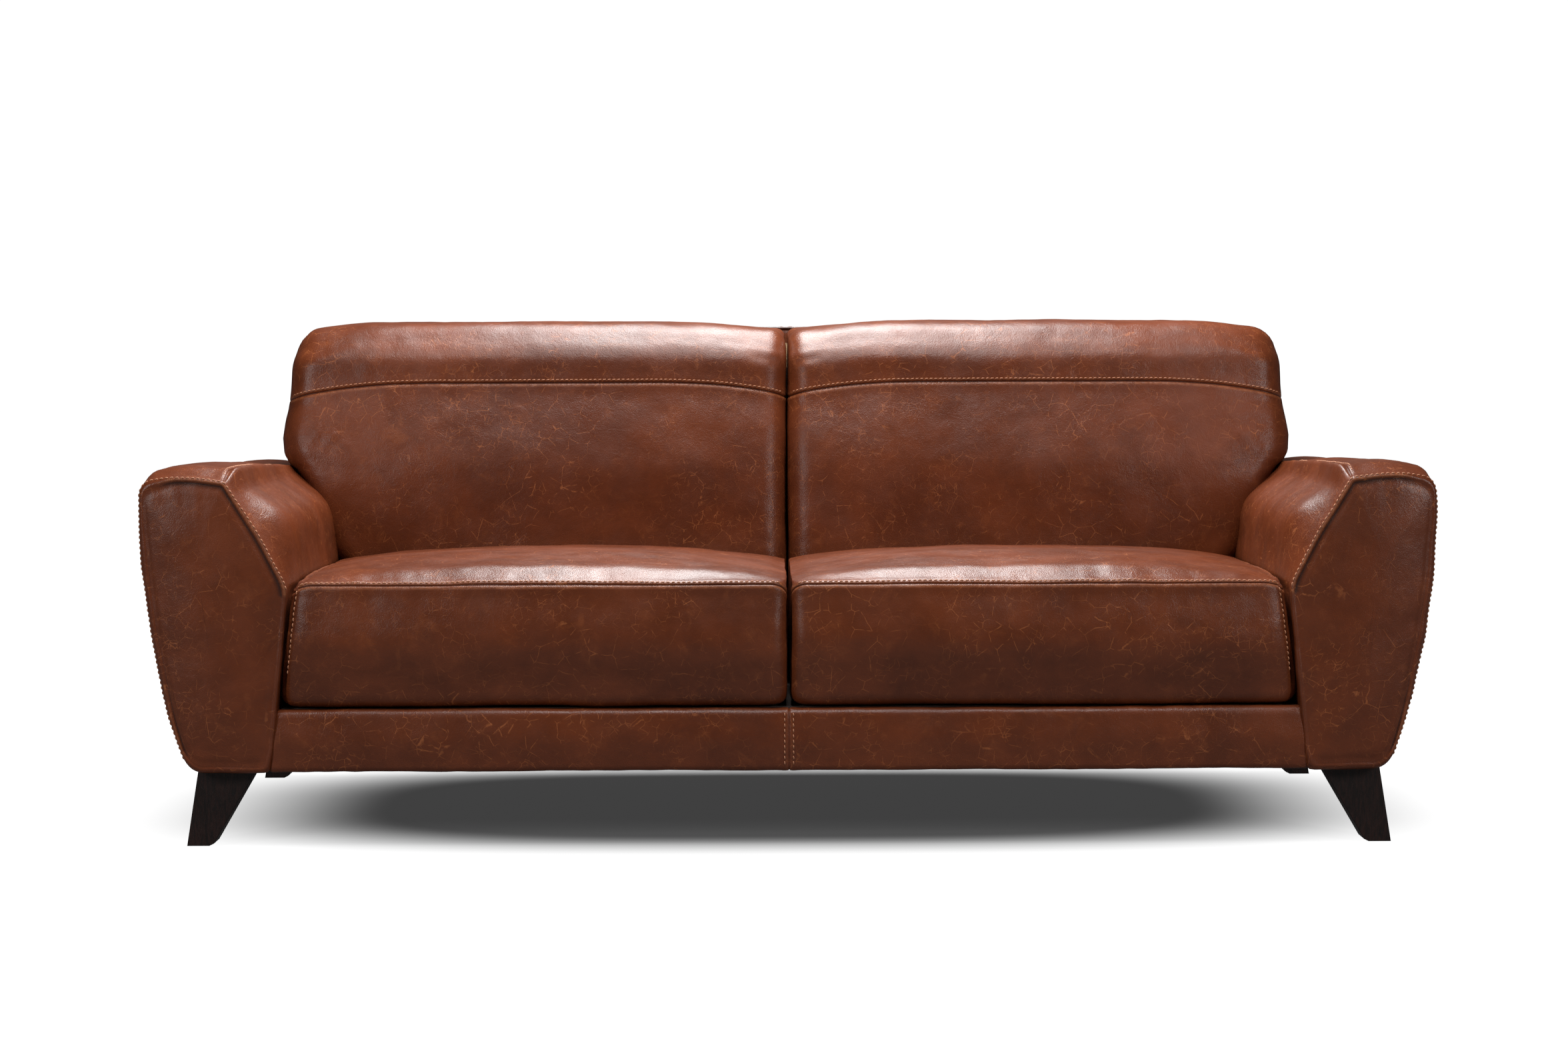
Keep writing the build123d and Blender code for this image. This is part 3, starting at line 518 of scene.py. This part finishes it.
def plastic_material(name, colour, grain):
    n = Nodes(name)
    speckle = n.noise(grain, 3)
    light = tuple(min(1, c * 1.8 + 0.01) for c in colour[:3]) + (1,)
    n.link(n.mix(speckle, colour, light), n.shader.inputs["Base Color"])
    n.link(n.fit(speckle, 0.3, 0.7, 0.5, 0.7), n.shader.inputs["Roughness"])
    n.link(n.bump(speckle, 0.0003, 0.5), n.shader.inputs["Normal"])
    return n.material


LEATHER = leather_material("pull_up_leather", LEATHER_DARK, LEATHER_MID)
THREAD = thread_material()
WELT = leather_material("welt_leather", WELT_DARK, WELT_MID)


def dress_cad_nodes():
    """Give each CAD node its slot's material."""
    leg_dark, leg_light = (0.005, 0.0022, 0.0018, 1), (0.020, 0.0070, 0.0050, 1)
    timber_dark, timber_light = (0.40, 0.25, 0.13, 1), (0.62, 0.44, 0.26, 1)
    board_dark, board_light = (0.16, 0.09, 0.05, 1), (0.24, 0.15, 0.09, 1)
    by_slot = {
        "leather": LEATHER,
        "leg_wood": wood_material("espresso_wood", leg_dark, leg_light, 0.38, (22, 22, 3.5)),
        "frame_timber": wood_material("sawn_timber", timber_dark, timber_light, 0.7, (3.5, 22, 22)),
        "hardboard": wood_material("hardboard", board_dark, board_light, 0.6, (20, 20, 20)),
        "foam": foam_material("seat_foam", (0.78, 0.72, 0.52, 1), (0.60, 0.54, 0.36, 1)),
        "fibre_wrap": foam_material("fibre_wrap", (0.86, 0.86, 0.84, 1), (0.70, 0.70, 0.69, 1)),
        "deck_felt": cloth_material("platform_cloth", (0.018, 0.011, 0.009, 1), (0.050, 0.032, 0.026, 1)),
        "dust_cloth": cloth_material("dust_cloth", (0.006, 0.006, 0.006, 1), (0.022, 0.022, 0.022, 1), 500),
        "webbing": cloth_material("elastic_webbing", (0.015, 0.015, 0.015, 1), (0.07, 0.07, 0.075, 1), 1200),
        "spring_steel": metal_material("spring_steel", (0.30, 0.30, 0.32, 1), 0.35),
        "zinc_steel": metal_material("zinc_steel", (0.66, 0.66, 0.62, 1), 0.3),
        "hook_and_loop": plastic_material("hook_and_loop", (0.020, 0.014, 0.012, 1), 700),
        "zip": plastic_material("zip_tape", (0.030, 0.016, 0.012, 1), 500),
        "glide": plastic_material("nylon_glide", (0.010, 0.010, 0.010, 1), 300),
    }
    slots = {row["node"]: row["material_slot"] for row in frame["record"]["subparts"]}
    for node, piece in frame["nodes"].items():
        piece.data.materials.clear()
        piece.data.materials.append(by_slot[slots[node]])


# ---------------------------------------------------------------- surface detail


def seam_groove(distance, width=0.0017, depth=0.0034, puff=0.0016):
    """Height across a seam: a narrow groove with a soft roll on each side."""
    return -depth * bump_at(distance, 0, width) + puff * bump_at(np.abs(distance), 0.0085, 0.0055)


def seam_rub_highlight_shade(distance):
    """1 beside a seam, where the leather is painted paler as rubbed leather and as a painted highlight on
    the seam's roll, and -1 in its groove, where painted shade darkens it.
    """
    return 0.8 * bump_at(np.abs(distance), 0.0045, 0.0035) - bump_at(distance, 0, 0.0011)


def crease(points, start, end, depth, width):
    """Height of one fold running from start to end, deepest in its middle."""
    a, b = np.array(start, float), np.array(end, float)
    run = b - a
    length = np.linalg.norm(run)
    offset = points - a
    t = np.clip((offset @ run) / length**2, 0, 1)
    distance = np.linalg.norm(offset - t[..., None] * run, axis=-1)
    taper = smooth(t * 4) * smooth((1 - t) * 4)
    # folds are sharp in the valley and round on the shoulders
    shape = -bump_at(distance, 0, width) + 0.55 * bump_at(distance, 2 * width, 1.5 * width)
    return depth * taper * shape


def add_height(points, height):
    return points + normals_of(points) * height[..., None]


def from_station(points, station):
    """Signed distance of each point from the outline at one station."""
    gap = np.linalg.norm(points - points[station], axis=2)
    return gap * np.sign(np.arange(len(points)) - station)[:, None]


# ---------------------------------------------------------------- seat cushions


def seat_bottom(depth):
    """Height of the underside of a seat cushion, which lies on the raked deck."""
    return 0.2435 - depth * RAKE


def seat_points():
    """The smooth skin of the right seat cushion, and the distance of its outline from the front seam."""
    back_depth = SEAT_REAR_Y - FRONT_Y
    seam = (0.006, 0.4500)
    edge_z = 0.452  # the top crowns above here
    inner_x, outer_x, full_x = 0.0042, 0.8360, 0.832
    corners = [
        (0.017, seat_bottom(0.017), 0.020),
        (0.005, 0.345, 0.4),
        (*seam, 0.006),
        (0.050, 0.4765, 0.050),
        (0.230, 0.4890, 0.3),
        (back_depth - 0.004, 0.4760, 0.040),
        (back_depth - 0.003, seat_bottom(back_depth), 0.025),
    ]
    ring, seam_run = outline(corners, 0.0065, seam)
    spine = ((0.14, 0.34), (0.42, 0.34))
    outer = outer_x + (edge_z - np.clip(ring[:, 1], 0.20, 0.47)) * 0.125
    rounding = 0.032 + 0.008 * smooth((ring[:, 1] - 0.42) / 0.05)
    rings, xs = loft(
        ring, spine, inner_x, outer, rounding * 0.75, rounding, 0.0075, SEAT_CAP, bulge=(0.001, 0.002)
    )
    depth, z = rings[..., 0], rings[..., 1]
    u = np.clip((xs - 0.004) / (full_x - 0.004), 0, 1)
    crown = 1 - np.abs(2 * u - 1) ** 3.0
    above = np.clip(z - edge_z, 0, 1)
    z = np.where(z > edge_z, edge_z + above * (0.06 + 0.94 * crown), z)
    bulge = 0.021 * bump_at(z, 0.355, 0.080) * smooth((0.10 - depth) / 0.05)
    depth = depth - bulge * (0.55 + 0.45 * crown)
    return np.stack([xs, FRONT_Y + depth, z], axis=-1), ring, seam_run


def make_seat(side):
    """One seat cushion: crowned top, bulging front, seam along the front edge and down the side."""
    points, ring, seam_run = seat_points()

    seed = 3 if side > 0 else 8
    height = 0.0028 * fractal(points, 5.5, seed, 2)
    height += 0.0011 * fractal(points * np.array([1.0, 1.6, 1.6]), 17, seed + 1, 3)
    # gathers pulled by the front seam and by the corners
    top_zone = smooth((seam_run - 0.002) / 0.01) * smooth((0.10 - seam_run) / 0.08)
    front_zone = smooth((-seam_run - 0.002) / 0.01) * smooth((0.07 + seam_run) / 0.05)
    pleats = fractal(points * np.array([1.0, 0.12, 0.12]), 34, seed + 2, 2)
    height += 0.0010 * pleats * (top_zone + 0.8 * front_zone)
    # short folds on the top near the corners
    folds = ((0.04, 0.10, 0.03, 0.12), (0.80, 0.73, 0.03, 0.13), (0.78, 0.70, 0.02, 0.08))
    for x0, x1, depth0, depth1 in folds:
        start = (x0, FRONT_Y + depth0, 0.468)
        end = (x1, FRONT_Y + depth1, 0.482)
        height += crease(points, start, end, 0.0016, 0.007)

    # the boxing seam follows the round of the outer edge, down the front and back along the top
    outer_edge = len(points) - 1 - SEAT_CAP - 3
    across = from_station(points, outer_edge)
    front_half = smooth((0.46 - ring[:, 0]) / 0.05) * smooth((ring[:, 1] - 0.26) / 0.02)
    groove = seam_groove(seam_run) + front_half * seam_groove(across, 0.0022, 0.0030, 0.0012)
    tint = seam_rub_highlight_shade(seam_run) + front_half * seam_rub_highlight_shade(across) * 0.9
    points = add_height(points, height + groove)

    points[..., 0] *= side
    word = "right" if side > 0 else "left"
    body = f"seat_cushion_{word}"
    piece = mesh_piece(f"seat_cushion_skin_{word}", points, body, tint)
    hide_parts(f"seat_cover_{word}", f"seat_wrap_{word}", f"seat_core_{word}")

    normals = normals_of(points)
    row = np.argmin(np.abs(seam_run - 0.0052))
    used = slice(SEAT_CAP + 4, len(points) - SEAT_CAP - 3)
    stitch_row(f"seat_front_stitches_{word}", points[used, row], normals[used, row], body)
    down = [i for i in np.argsort(seam_run) if -0.16 < seam_run[i] < -0.004]
    beside = outer_edge - 1
    stitch_row(f"seat_side_stitches_{word}", points[beside, down], normals[beside, down], body)


# ---------------------------------------------------------------- back cushions


def back_outer_x(z):
    """Outer X of the back at a height: between the arms below, proud of them above."""
    heights = [0.20, 0.440, 0.475, 0.540, 0.600, 0.622, 0.632, 0.650, 0.680, 0.750, 0.800, 0.900]
    widths = [0.838, 0.842, 0.862, 0.895, 0.915, 0.926, 0.938, 0.9480, 0.9505, 0.9440, 0.9390, 0.9320]
    return np.interp(z, heights, widths)


def back_points():
    """The smooth skin of the right back cushion, with two measures of each point.

    They are its distance round the outline from the head seam, and 1 on the front face or 0 behind it.
    """
    seam_z = 0.778
    seam = (leaned(0.558, seam_z), seam_z)
    top = 0.8905
    rear = BACK_REAR_Y - FRONT_Y
    inner_x, width = 0.0014, 0.942
    corners = [
        (0.570, 0.258, 0.03),
        (0.552, 0.450, 0.2),
        (leaned(0.545, 0.62), 0.620, 0.4),
        (*seam, 0.020),
        (0.6165, 0.838, 0.070),
        (0.668, top, 0.075),
        (0.800, top + 0.004, 0.060),
        (rear - 0.004, top - 0.012, 0.014),
        (0.7950, 0.450, 0.05),
        (0.7950, 0.258, 0.02),
    ]
    ring, seam_run = outline(corners, 0.0068, seam)
    spine = ((0.675, 0.36), (0.735, 0.80))
    outer = back_outer_x(ring[:, 1])
    at_top = smooth((ring[:, 1] - 0.79) / 0.07)
    at_rear = smooth((ring[:, 0] - 0.74) / 0.08)
    outer_round = 0.048 * (1 - 0.50 * at_rear)
    inner_round = (0.042 - 0.010 * at_top) * (1 - 0.5 * at_rear)
    rings, xs = loft(
        ring, spine, inner_x, outer, inner_round, outer_round, 0.0085, BACK_CAP, bulge=(0.001, 0.004)
    )
    depth, z = rings[..., 0], rings[..., 1]
    u = np.clip((xs - 0.004) / width, 0, 1)
    # the seam and the head droop towards both ends
    outer_drop = 0.030 * np.clip((u - 0.70) / 0.30, 0, 1) ** 2.2
    inner_drop = 0.024 * np.clip((0.26 - u) / 0.26, 0, 1) ** 2.2
    z = z - (outer_drop + inner_drop) * bump_at(z, 0.775, 0.05)
    head_drop = 0.010 * smooth((0.18 - u) / 0.18) + 0.012 * smooth((u - 0.82) / 0.18)
    head_drop = head_drop + 0.003 * np.abs(2 * u - 1)
    z = z - smooth((z - 0.80) / 0.06) * head_drop
    middle = 1 - np.abs(2 * u - 1) ** 2.6
    facing = smooth((0.70 - depth + np.maximum(0, z - 0.45) * LEAN) / 0.06)
    belly = 0.014 * bump_at(z, 0.630, 0.120) + 0.004 * bump_at(z, 0.815, 0.035)
    depth = depth - belly * facing * middle
    return np.stack([xs, FRONT_Y + depth, z], axis=-1), seam_run, facing


def make_back(side):
    """One back cushion: a leaning face under a seam, and a rolled head above it."""
    points, seam_run, facing = back_points()
    xs = points[..., 0]
    seed = 21 if side > 0 else 34
    height = 0.0030 * fractal(points, 4.2, seed, 2)
    height += 0.0012 * fractal(points * np.array([1.0, 1.4, 0.8]), 15, seed + 1, 3)
    pleats = fractal(points * np.array([1.0, 0.1, 0.14]), 30, seed + 2, 2)
    near_seam = smooth((0.085 - np.abs(seam_run)) / 0.07)
    height += 0.0012 * pleats * near_seam
    # folds at the ear, where the cover is pulled round above the arm: (X, Z) to (X, Z), depth
    ear = (
        (0.915, 0.634, 0.888, 0.708, 0.0036),
        (0.896, 0.632, 0.858, 0.702, 0.0034),
        (0.872, 0.628, 0.828, 0.684, 0.0030),
        (0.928, 0.640, 0.914, 0.706, 0.0026),
        (0.846, 0.616, 0.800, 0.660, 0.0022),
    )
    inside_edge = smooth((0.935 - xs) / 0.03)
    for x0, z0, x1, z1, deep in ear:
        start = (x0, FRONT_Y + leaned(0.555, z0), z0)
        end = (x1, FRONT_Y + leaned(0.551, z1), z1)
        height += crease(points, start, end, deep, 0.0065) * facing * inside_edge
    # folds fanning from the top corners and from the foot of the inner edge
    fans = (
        (0.012, 0.835, 0.075, 0.868, 0.0022),
        (0.010, 0.815, 0.065, 0.826, 0.0018),
        (0.87, 0.845, 0.80, 0.872, 0.0020),
        (0.90, 0.83, 0.85, 0.852, 0.0020),
        (0.015, 0.50, 0.10, 0.56, 0.0026),
        (0.015, 0.475, 0.13, 0.505, 0.0024),
    )
    for x0, z0, x1, z1, deep in fans:
        start = (x0, FRONT_Y + leaned(0.565, z0), z0)
        end = (x1, FRONT_Y + leaned(0.560, z1), z1)
        height += crease(points, start, end, deep, 0.008) * facing
    near_end = 0.35 + 0.65 * smooth((0.940 - xs) / 0.03)
    groove = seam_groove(seam_run, depth=0.0028, puff=0.0006) * facing * near_end
    tint = seam_rub_highlight_shade(seam_run) * facing
    points = add_height(points, height + groove)

    points[..., 0] *= side
    word = "right" if side > 0 else "left"
    piece = mesh_piece(f"back_cushion_skin_{word}", points, ROOT, tint)
    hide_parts(f"back_cover_{word}", f"back_wrap_{word}", f"back_core_{word}")
    normals = normals_of(points)
    row = np.argmin(np.abs(seam_run - 0.0054))
    used = slice(BACK_CAP + 3, len(points) - BACK_CAP - 3)
    stitch_row(f"back_stitches_{word}", points[used, row], normals[used, row], ROOT)


# ---------------------------------------------------------------- arms


def arm_corners():
    """The right arm seen from the front: (X, Z, radius), round its outside."""
    return [
        (1.0890, 0.6260, 0.027),
        (1.0120, 0.6330, 0.3),
        (*ARM_RIDGE, 0.012),
        (0.8880, 0.5330, 0.5),
        (0.8420, 0.4420, 0.070),
        (0.8630, 0.2500, 0.5),
        (0.8760, BASE_Z, 0.010),
        (1.0120, BASE_Z, 0.034),
        (1.0515, 0.255, 0.6),
        (1.0735, 0.365, 0.6),
        (1.0862, 0.470, 0.6),
        (1.0905, 0.560, 0.25),
    ]


def arm_points(ring, ridge_run, plain_edge):
    """The smooth skin of the right arm, and the depth of each point behind the front."""
    x, z = ring[:, 0], ring[:, 1]
    spine = ((0.965, 0.27), (0.995, 0.49))
    front_round = 0.0070 + 0.0065 * plain_edge
    rings, depths = loft(
        ring, spine, 0.0, ARM_DEPTH, front_round, 0.016, 0.0095, ARM_CAP, bulge=(0.013, 0.003)
    )
    px, pz = rings[..., 0], rings[..., 1]
    half_slope = 0.105
    inner_slope = bump_at(ridge_run, half_slope, 0.075) + bump_at(ridge_run, -half_slope, 0.075)
    on_slope = ((x < 0.945) & (z > 0.44)) * inner_slope
    behind = smooth(depths / 0.10)
    # the padding swells behind the front seam
    top = smooth((pz - 0.60) / 0.02)
    across_top = np.clip((px - 0.946) / 0.143, 0, 1)
    rise = 0.0180 * smooth(depths / 0.07) - 0.026 * smooth((depths - 0.10) / 0.75)
    pz = pz + top * rise * (1 - 0.25 * across_top**3)
    shove = 0.038 * behind * on_slope
    px = px - shove * 0.84
    pz = pz + shove * 0.54
    return np.stack([px, FRONT_Y + depths, pz], axis=-1), depths


def make_arm(side):
    """One arm: front panel inside a stitched edge, crowned top and a rounded inner shoulder."""
    ring, ridge_run = outline(arm_corners(), 0.0068, ARM_RIDGE)
    x, z = ring[:, 0], ring[:, 1]
    # the seam is quiet down the outside, along the bottom and beside the seat
    plain_edge = np.maximum(smooth((x - 1.03) / 0.04), smooth((0.17 - z) / 0.03))
    beside_seat = (x < 0.9) & (z < 0.43)
    points, depths = arm_points(ring, ridge_run, plain_edge)
    pz = points[..., 2]
    seed = 55 if side > 0 else 61
    height = 0.0020 * fractal(points, 6.0, seed, 2)
    height += 0.0009 * fractal(points, 19, seed + 1, 3)
    edge = ARM_CAP
    front = (np.arange(len(points)) <= edge)[:, None]
    pleats = fractal(points * np.array([1.0, 0.1, 0.10]), 38, seed + 2, 2)
    height += 0.0011 * pleats * front * smooth((pz - 0.52) / 0.08)
    gathers = fractal(points * np.array([0.35, 0.35, 1.0]), 30, seed + 3, 2)
    height += 0.0007 * gathers * smooth((0.05 - np.abs(depths - 0.03)) / 0.04)
    across = from_station(points, edge)
    strength = np.where(beside_seat, 0.25, 1 - 0.75 * plain_edge)
    body_zone = smooth((depths - 0.010) / 0.01) * smooth((ARM_DEPTH - depths - 0.02) / 0.02)
    groove = seam_groove(across, 0.0022, 0.0036, 0.0014) * (0.45 + 0.55 * strength)
    groove = groove + seam_groove(ridge_run, 0.0016, 0.0026, 0.0010) * body_zone
    tint = seam_rub_highlight_shade(across) * strength + 0.5 * seam_rub_highlight_shade(ridge_run) * body_zone
    points = add_height(points, height + groove)
    points[..., 2] = np.maximum(points[..., 2], BASE_Z - 0.001)

    points[..., 0] *= side
    word = "right" if side > 0 else "left"
    piece = mesh_piece(f"arm_skin_{word}", points, ROOT, tint)
    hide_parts(f"arm_cover_{word}", f"arm_padding_{word}")
    normals = normals_of(points)
    # the front row runs from the seat over the top and down the outside
    order = [i for i in range(len(ring)) if not (z[i] < 0.15 or (x[i] < 0.9 and z[i] < 0.44))]
    cut = int(np.argmax(np.diff(order))) + 1
    order = order[cut:] + order[:cut]
    row = edge + 5
    stitch_row(f"arm_front_stitches_{word}", points[row, order], normals[row, order], ROOT)
    column = np.argmin(np.abs(ridge_run + 0.0050))
    used = slice(ARM_CAP + 10, len(points) - ARM_CAP - 10)
    stitch_row(f"arm_ridge_stitches_{word}", points[used, column], normals[used, column], ROOT)


# ---------------------------------------------------------------- front rail and outside back


def upwards(ring, chosen):
    """The chosen outline points, from the lowest to the highest."""
    return sorted(np.flatnonzero(chosen), key=lambda i: ring[i, 1])


def double_stitches(name, points, xs, used):
    """A row of stitches on each side of the middle seam, along the outline points used."""
    normals = normals_of(points)
    for word, offset in (("left", -DOUBLE_ROW), ("right", DOUBLE_ROW)):
        station = np.argmin(np.abs(xs[:, 0] - offset))
        stitch_row(f"{name}_{word}", points[station, used], normals[station, used], ROOT)


def make_front_rail():
    """The covered rail under the seats, with a double-stitched seam in its middle."""
    depth = RAIL_LOW[1] - FRONT_Y
    rear = RAIL_HIGH[1] - FRONT_Y
    corners = [
        (depth, BASE_Z + 0.001, 0.008),
        (depth + 0.001, RAIL_HIGH[2] + 0.001, 0.014),
        (rear, RAIL_HIGH[2], 0.003),
        (rear, BASE_Z + 0.001, 0.003),
    ]
    ring, _ = outline(corners, 0.0045)
    spine = ((depth + 0.013, 0.150), (depth + 0.013, 0.220))
    end = 0.8790 - (ring[:, 1] - BASE_Z) * 0.110
    rings, xs = loft(ring, spine, -end, end, 0.007, 0.007, 0.0085, PANEL_CAP, seam=0.0)
    rail_depth, z = rings[..., 0], rings[..., 1]
    front = smooth((0.016 - rail_depth + depth) / 0.012)
    rail_depth = rail_depth - 0.0045 * front * bump_at(z, 0.185, 0.036)
    points = np.stack([xs, FRONT_Y + rail_depth, z], axis=-1)
    height = 0.0013 * fractal(points, 7, 71, 2) + 0.0007 * fractal(points, 22, 72, 2)
    height += 0.0008 * fractal(points * np.array([1.0, 0.2, 0.12]), 26, 73, 2) * front
    groove = seam_groove(xs, 0.0011, 0.0016, 0.0006)
    tint = seam_rub_highlight_shade(xs) * 0.5
    points = add_height(points, height + groove)
    piece = mesh_piece("front_rail_skin", points, ROOT, tint)
    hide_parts("front_rail_cover")
    on_front = (ring[:, 0] < depth + 0.006) & (ring[:, 1] > 0.137) & (ring[:, 1] < 0.234)
    double_stitches("rail_stitches", points, xs, upwards(ring, on_front))


def make_outside_back():
    """The leather over the rear, with a double-stitched seam in its middle and rounded top corners."""
    near = OUTSIDE_LOW[1] - FRONT_Y
    far = 0.868
    top = OUTSIDE_HIGH[2] - 0.004
    arm_top = 0.442  # the arms are beside it up to here
    corners = [
        (near, BASE_Z + 0.001, 0.004),
        (near, LEAN_Z, 0.3),
        (leaned(near, top), top, 0.006),
        (leaned(far, top), top, 0.010),
        (far, LEAN_Z, 0.3),
        (far, BASE_Z + 0.001, 0.008),
    ]
    ring, edge_run = outline(corners, 0.0085, (leaned(far, top) - 0.002, top - 0.004))
    spine = ((near + 0.035, 0.18), (leaned(near, 0.84) + 0.035, 0.84))
    z = ring[:, 1]
    arm_gap = 0.0015
    below = np.interp(z, [BASE_Z, arm_top], [0.8760 - arm_gap, 0.8420 - arm_gap])
    turn = 0.060
    into = np.clip((z - (top - turn)) / turn, 0, 1)
    end = np.where(z < arm_top + 0.003, below, back_outer_x(z)) - turn * (1 - np.sqrt(1 - into**2))
    corner = np.where(ring[:, 0] > leaned(far, z) - 0.02, 0.010, 0.003)
    rings, xs = loft(ring, spine, -end, end, corner, corner, 0.012, PANEL_CAP, seam=0.0)
    depth, pz = rings[..., 0], rings[..., 1]
    points = np.stack([xs, FRONT_Y + depth, pz], axis=-1)
    rear = smooth((depth - leaned(far - 0.02, pz)) / 0.01)
    height = 0.0016 * fractal(points, 4, 81, 2) * rear + 0.0006 * fractal(points, 18, 82, 2)
    groove = seam_groove(xs, 0.0016, 0.0022, 0.0012) * rear
    tint = seam_rub_highlight_shade(xs) * rear + seam_rub_highlight_shade(edge_run) * 0.6
    groove = groove + seam_groove(edge_run, 0.0016, 0.0020, 0.0010)
    points = add_height(points, height + groove)
    piece = mesh_piece("outside_back_skin", points, ROOT, tint)
    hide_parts("outside_back_cover")
    on_rear = (ring[:, 0] > leaned(far, z) - 0.004) & (z > 0.15) & (z < 0.86)
    double_stitches("outside_back_stitches", points, xs, upwards(ring, on_rear))


def make_welt():
    """Piping between the cushions and the outside back, up each side and over the top."""
    corner = 0.050
    half = [(back_outer_x(z) - 0.001, z) for z in np.linspace(0.640, 0.835, 14)]
    middle_x, middle_z = half[-1][0] - corner, OUTSIDE_HIGH[2] - 0.010 - corner
    for angle in np.linspace(0, math.pi / 2, 9)[1:]:
        half.append((middle_x + corner * math.cos(angle), middle_z + corner * math.sin(angle)))
    # the top run rises a little as it leaves the corner
    last_x, last_z = half[-1]
    run = np.linspace(last_x, 0.0, 16)[1:]
    rises = 0.004 * smooth((last_x - run) / 0.3)
    run_z = last_z + rises[0]
    half.append((run[0], run_z))
    half += [(x, run_z + rise) for x, rise in zip(run[1:], rises[1:])]
    line = half + [(-x, z) for x, z in reversed(half[:-1])]
    curve = bpy.data.curves.new("back_welt", "CURVE")
    curve.dimensions = "3D"
    curve.bevel_depth = 0.0028
    curve.bevel_resolution = 3
    curve.resolution_u = 4
    spline = curve.splines.new("NURBS")
    spline.points.add(len(line) - 1)
    near = OUTSIDE_LOW[1] - FRONT_Y
    for point, (x, z) in zip(spline.points, line):
        point.co = (x, FRONT_Y + leaned(near - 0.001, z), z, 1)
    spline.order_u = 3
    spline.use_endpoint_u = True
    curve.materials.append(WELT)
    add_piece("back_welt", curve, ROOT)


# ---------------------------------------------------------------- stage


def floor_material():
    """Dark grey, with a white glow, mostly seen by the camera, that is left out under the sofa to paint its
    shadow there, on top of the shadow the lights cast; it throws little light back.
    """
    n = Nodes("studio_floor")
    shadow_half_width, shadow_half_depth, squareness = 1.10, 0.50, 3.0
    n.shader.inputs["Roughness"].default_value = 0.9
    n.shader.inputs["Specular IOR Level"].default_value = 0.1
    n.link(n.mix(n.noise(2, 2), (0.11, 0.11, 0.11, 1), (0.13, 0.13, 0.13, 1)), n.shader.inputs["Base Color"])
    # painted shadow: the glow fades out inside a rounded oblong round the sofa, so the floor there is left
    # dark
    apart = n.tree.nodes.new("ShaderNodeSeparateXYZ")
    n.link(n.place, apart.inputs[0])
    across = n.math("ABSOLUTE", n.math("DIVIDE", apart.outputs["X"], shadow_half_width))
    deep = n.math("ABSOLUTE", n.math("DIVIDE", apart.outputs["Y"], shadow_half_depth))
    total = n.math("ADD", n.math("POWER", across, squareness), n.math("POWER", deep, squareness))
    glow_outside_painted_shadow = n.fit(n.math("POWER", total, 1 / squareness), 0.66, 1.12, 0.05, 1.0)
    direct = n.tree.nodes.new("ShaderNodeLightPath").outputs["Is Camera Ray"]
    share = n.fit(direct, 0.0, 1.0, 0.08, 1.0)
    n.shader.inputs["Emission Color"].default_value = (1, 1, 1, 1)
    n.link(n.math("MULTIPLY", glow_outside_painted_shadow, share), n.shader.inputs["Emission Strength"])
    return n.material


def make_floor():
    size = 30
    mesh = bpy.data.meshes.new("studio_floor")
    corners = [(-size, -size, 0), (size, -size, 0), (size, size, 0), (-size, size, 0)]
    mesh.from_pydata(corners, [], [(0, 1, 2, 3)])
    mesh.materials.append(floor_material())
    floor = bpy.data.objects.new("studio_floor", mesh)
    bpy.context.scene.collection.objects.link(floor)


def make_world():
    """White to look at, and dim as a light."""
    world = bpy.data.worlds.new("studio")
    world.use_nodes = True
    tree = world.node_tree
    background = tree.nodes["Background"]
    background.inputs[0].default_value = (1, 1, 1, 1)
    spread = tree.nodes.new("ShaderNodeMapRange")
    spread.inputs["To Min"].default_value = 0.05
    spread.inputs["To Max"].default_value = 1.05
    direct = tree.nodes.new("ShaderNodeLightPath").outputs["Is Camera Ray"]
    tree.links.new(direct, spread.inputs["Value"])
    tree.links.new(spread.outputs[0], background.inputs[1])
    bpy.context.scene.world = world


def softbox(name, place, target, width, height, watts):
    light = bpy.data.lights.new(name, "AREA")
    light.shape = "RECTANGLE"
    light.size, light.size_y = width, height
    light.energy = watts
    lamp = bpy.data.objects.new(name, light)
    lamp.location = place
    lamp.rotation_mode = "QUATERNION"
    lamp.rotation_quaternion = (Vector(target) - Vector(place)).to_track_quat("-Z", "Y")
    bpy.context.scene.collection.objects.link(lamp)


def make_lights():
    softbox("top_softbox", (-0.05, 0.70, 2.9), (-0.05, 0.25, 0.4), 1.3, 1.7, 180)
    softbox("key_softbox", (0.0, -2.0, 4.4), (0, 0, 0.4), 2.2, 1.0, 148)
    softbox("left_softbox", (-2.9, -3.0, 1.8), (-0.8, 0, 0.5), 0.5, 1.0, 48)
    softbox("right_softbox", (2.9, -3.0, 1.8), (0.8, 0, 0.5), 0.5, 1.0, 48)


def make_camera():
    """In front of the sofa, a little above its seats, looking slightly down."""
    camera = bpy.data.cameras.new("camera")
    camera.sensor_width = 36
    camera.lens = 65.9
    eye = bpy.data.objects.new("camera", camera)
    eye.location = (-0.024, FRONT_Y - 4.80, 0.870)
    eye.rotation_euler = (math.radians(90 - 3.78), math.radians(0.2), math.radians(-0.21))
    bpy.context.scene.collection.objects.link(eye)
    bpy.context.scene.camera = eye
    bpy.context.scene.view_settings.view_transform = "Standard"


make_camera()
make_floor()
make_world()
make_lights()
dress_cad_nodes()
for side in (1, -1):
    make_arm(side)
    make_seat(side)
    make_back(side)
make_front_rail()
make_outside_back()
make_welt()
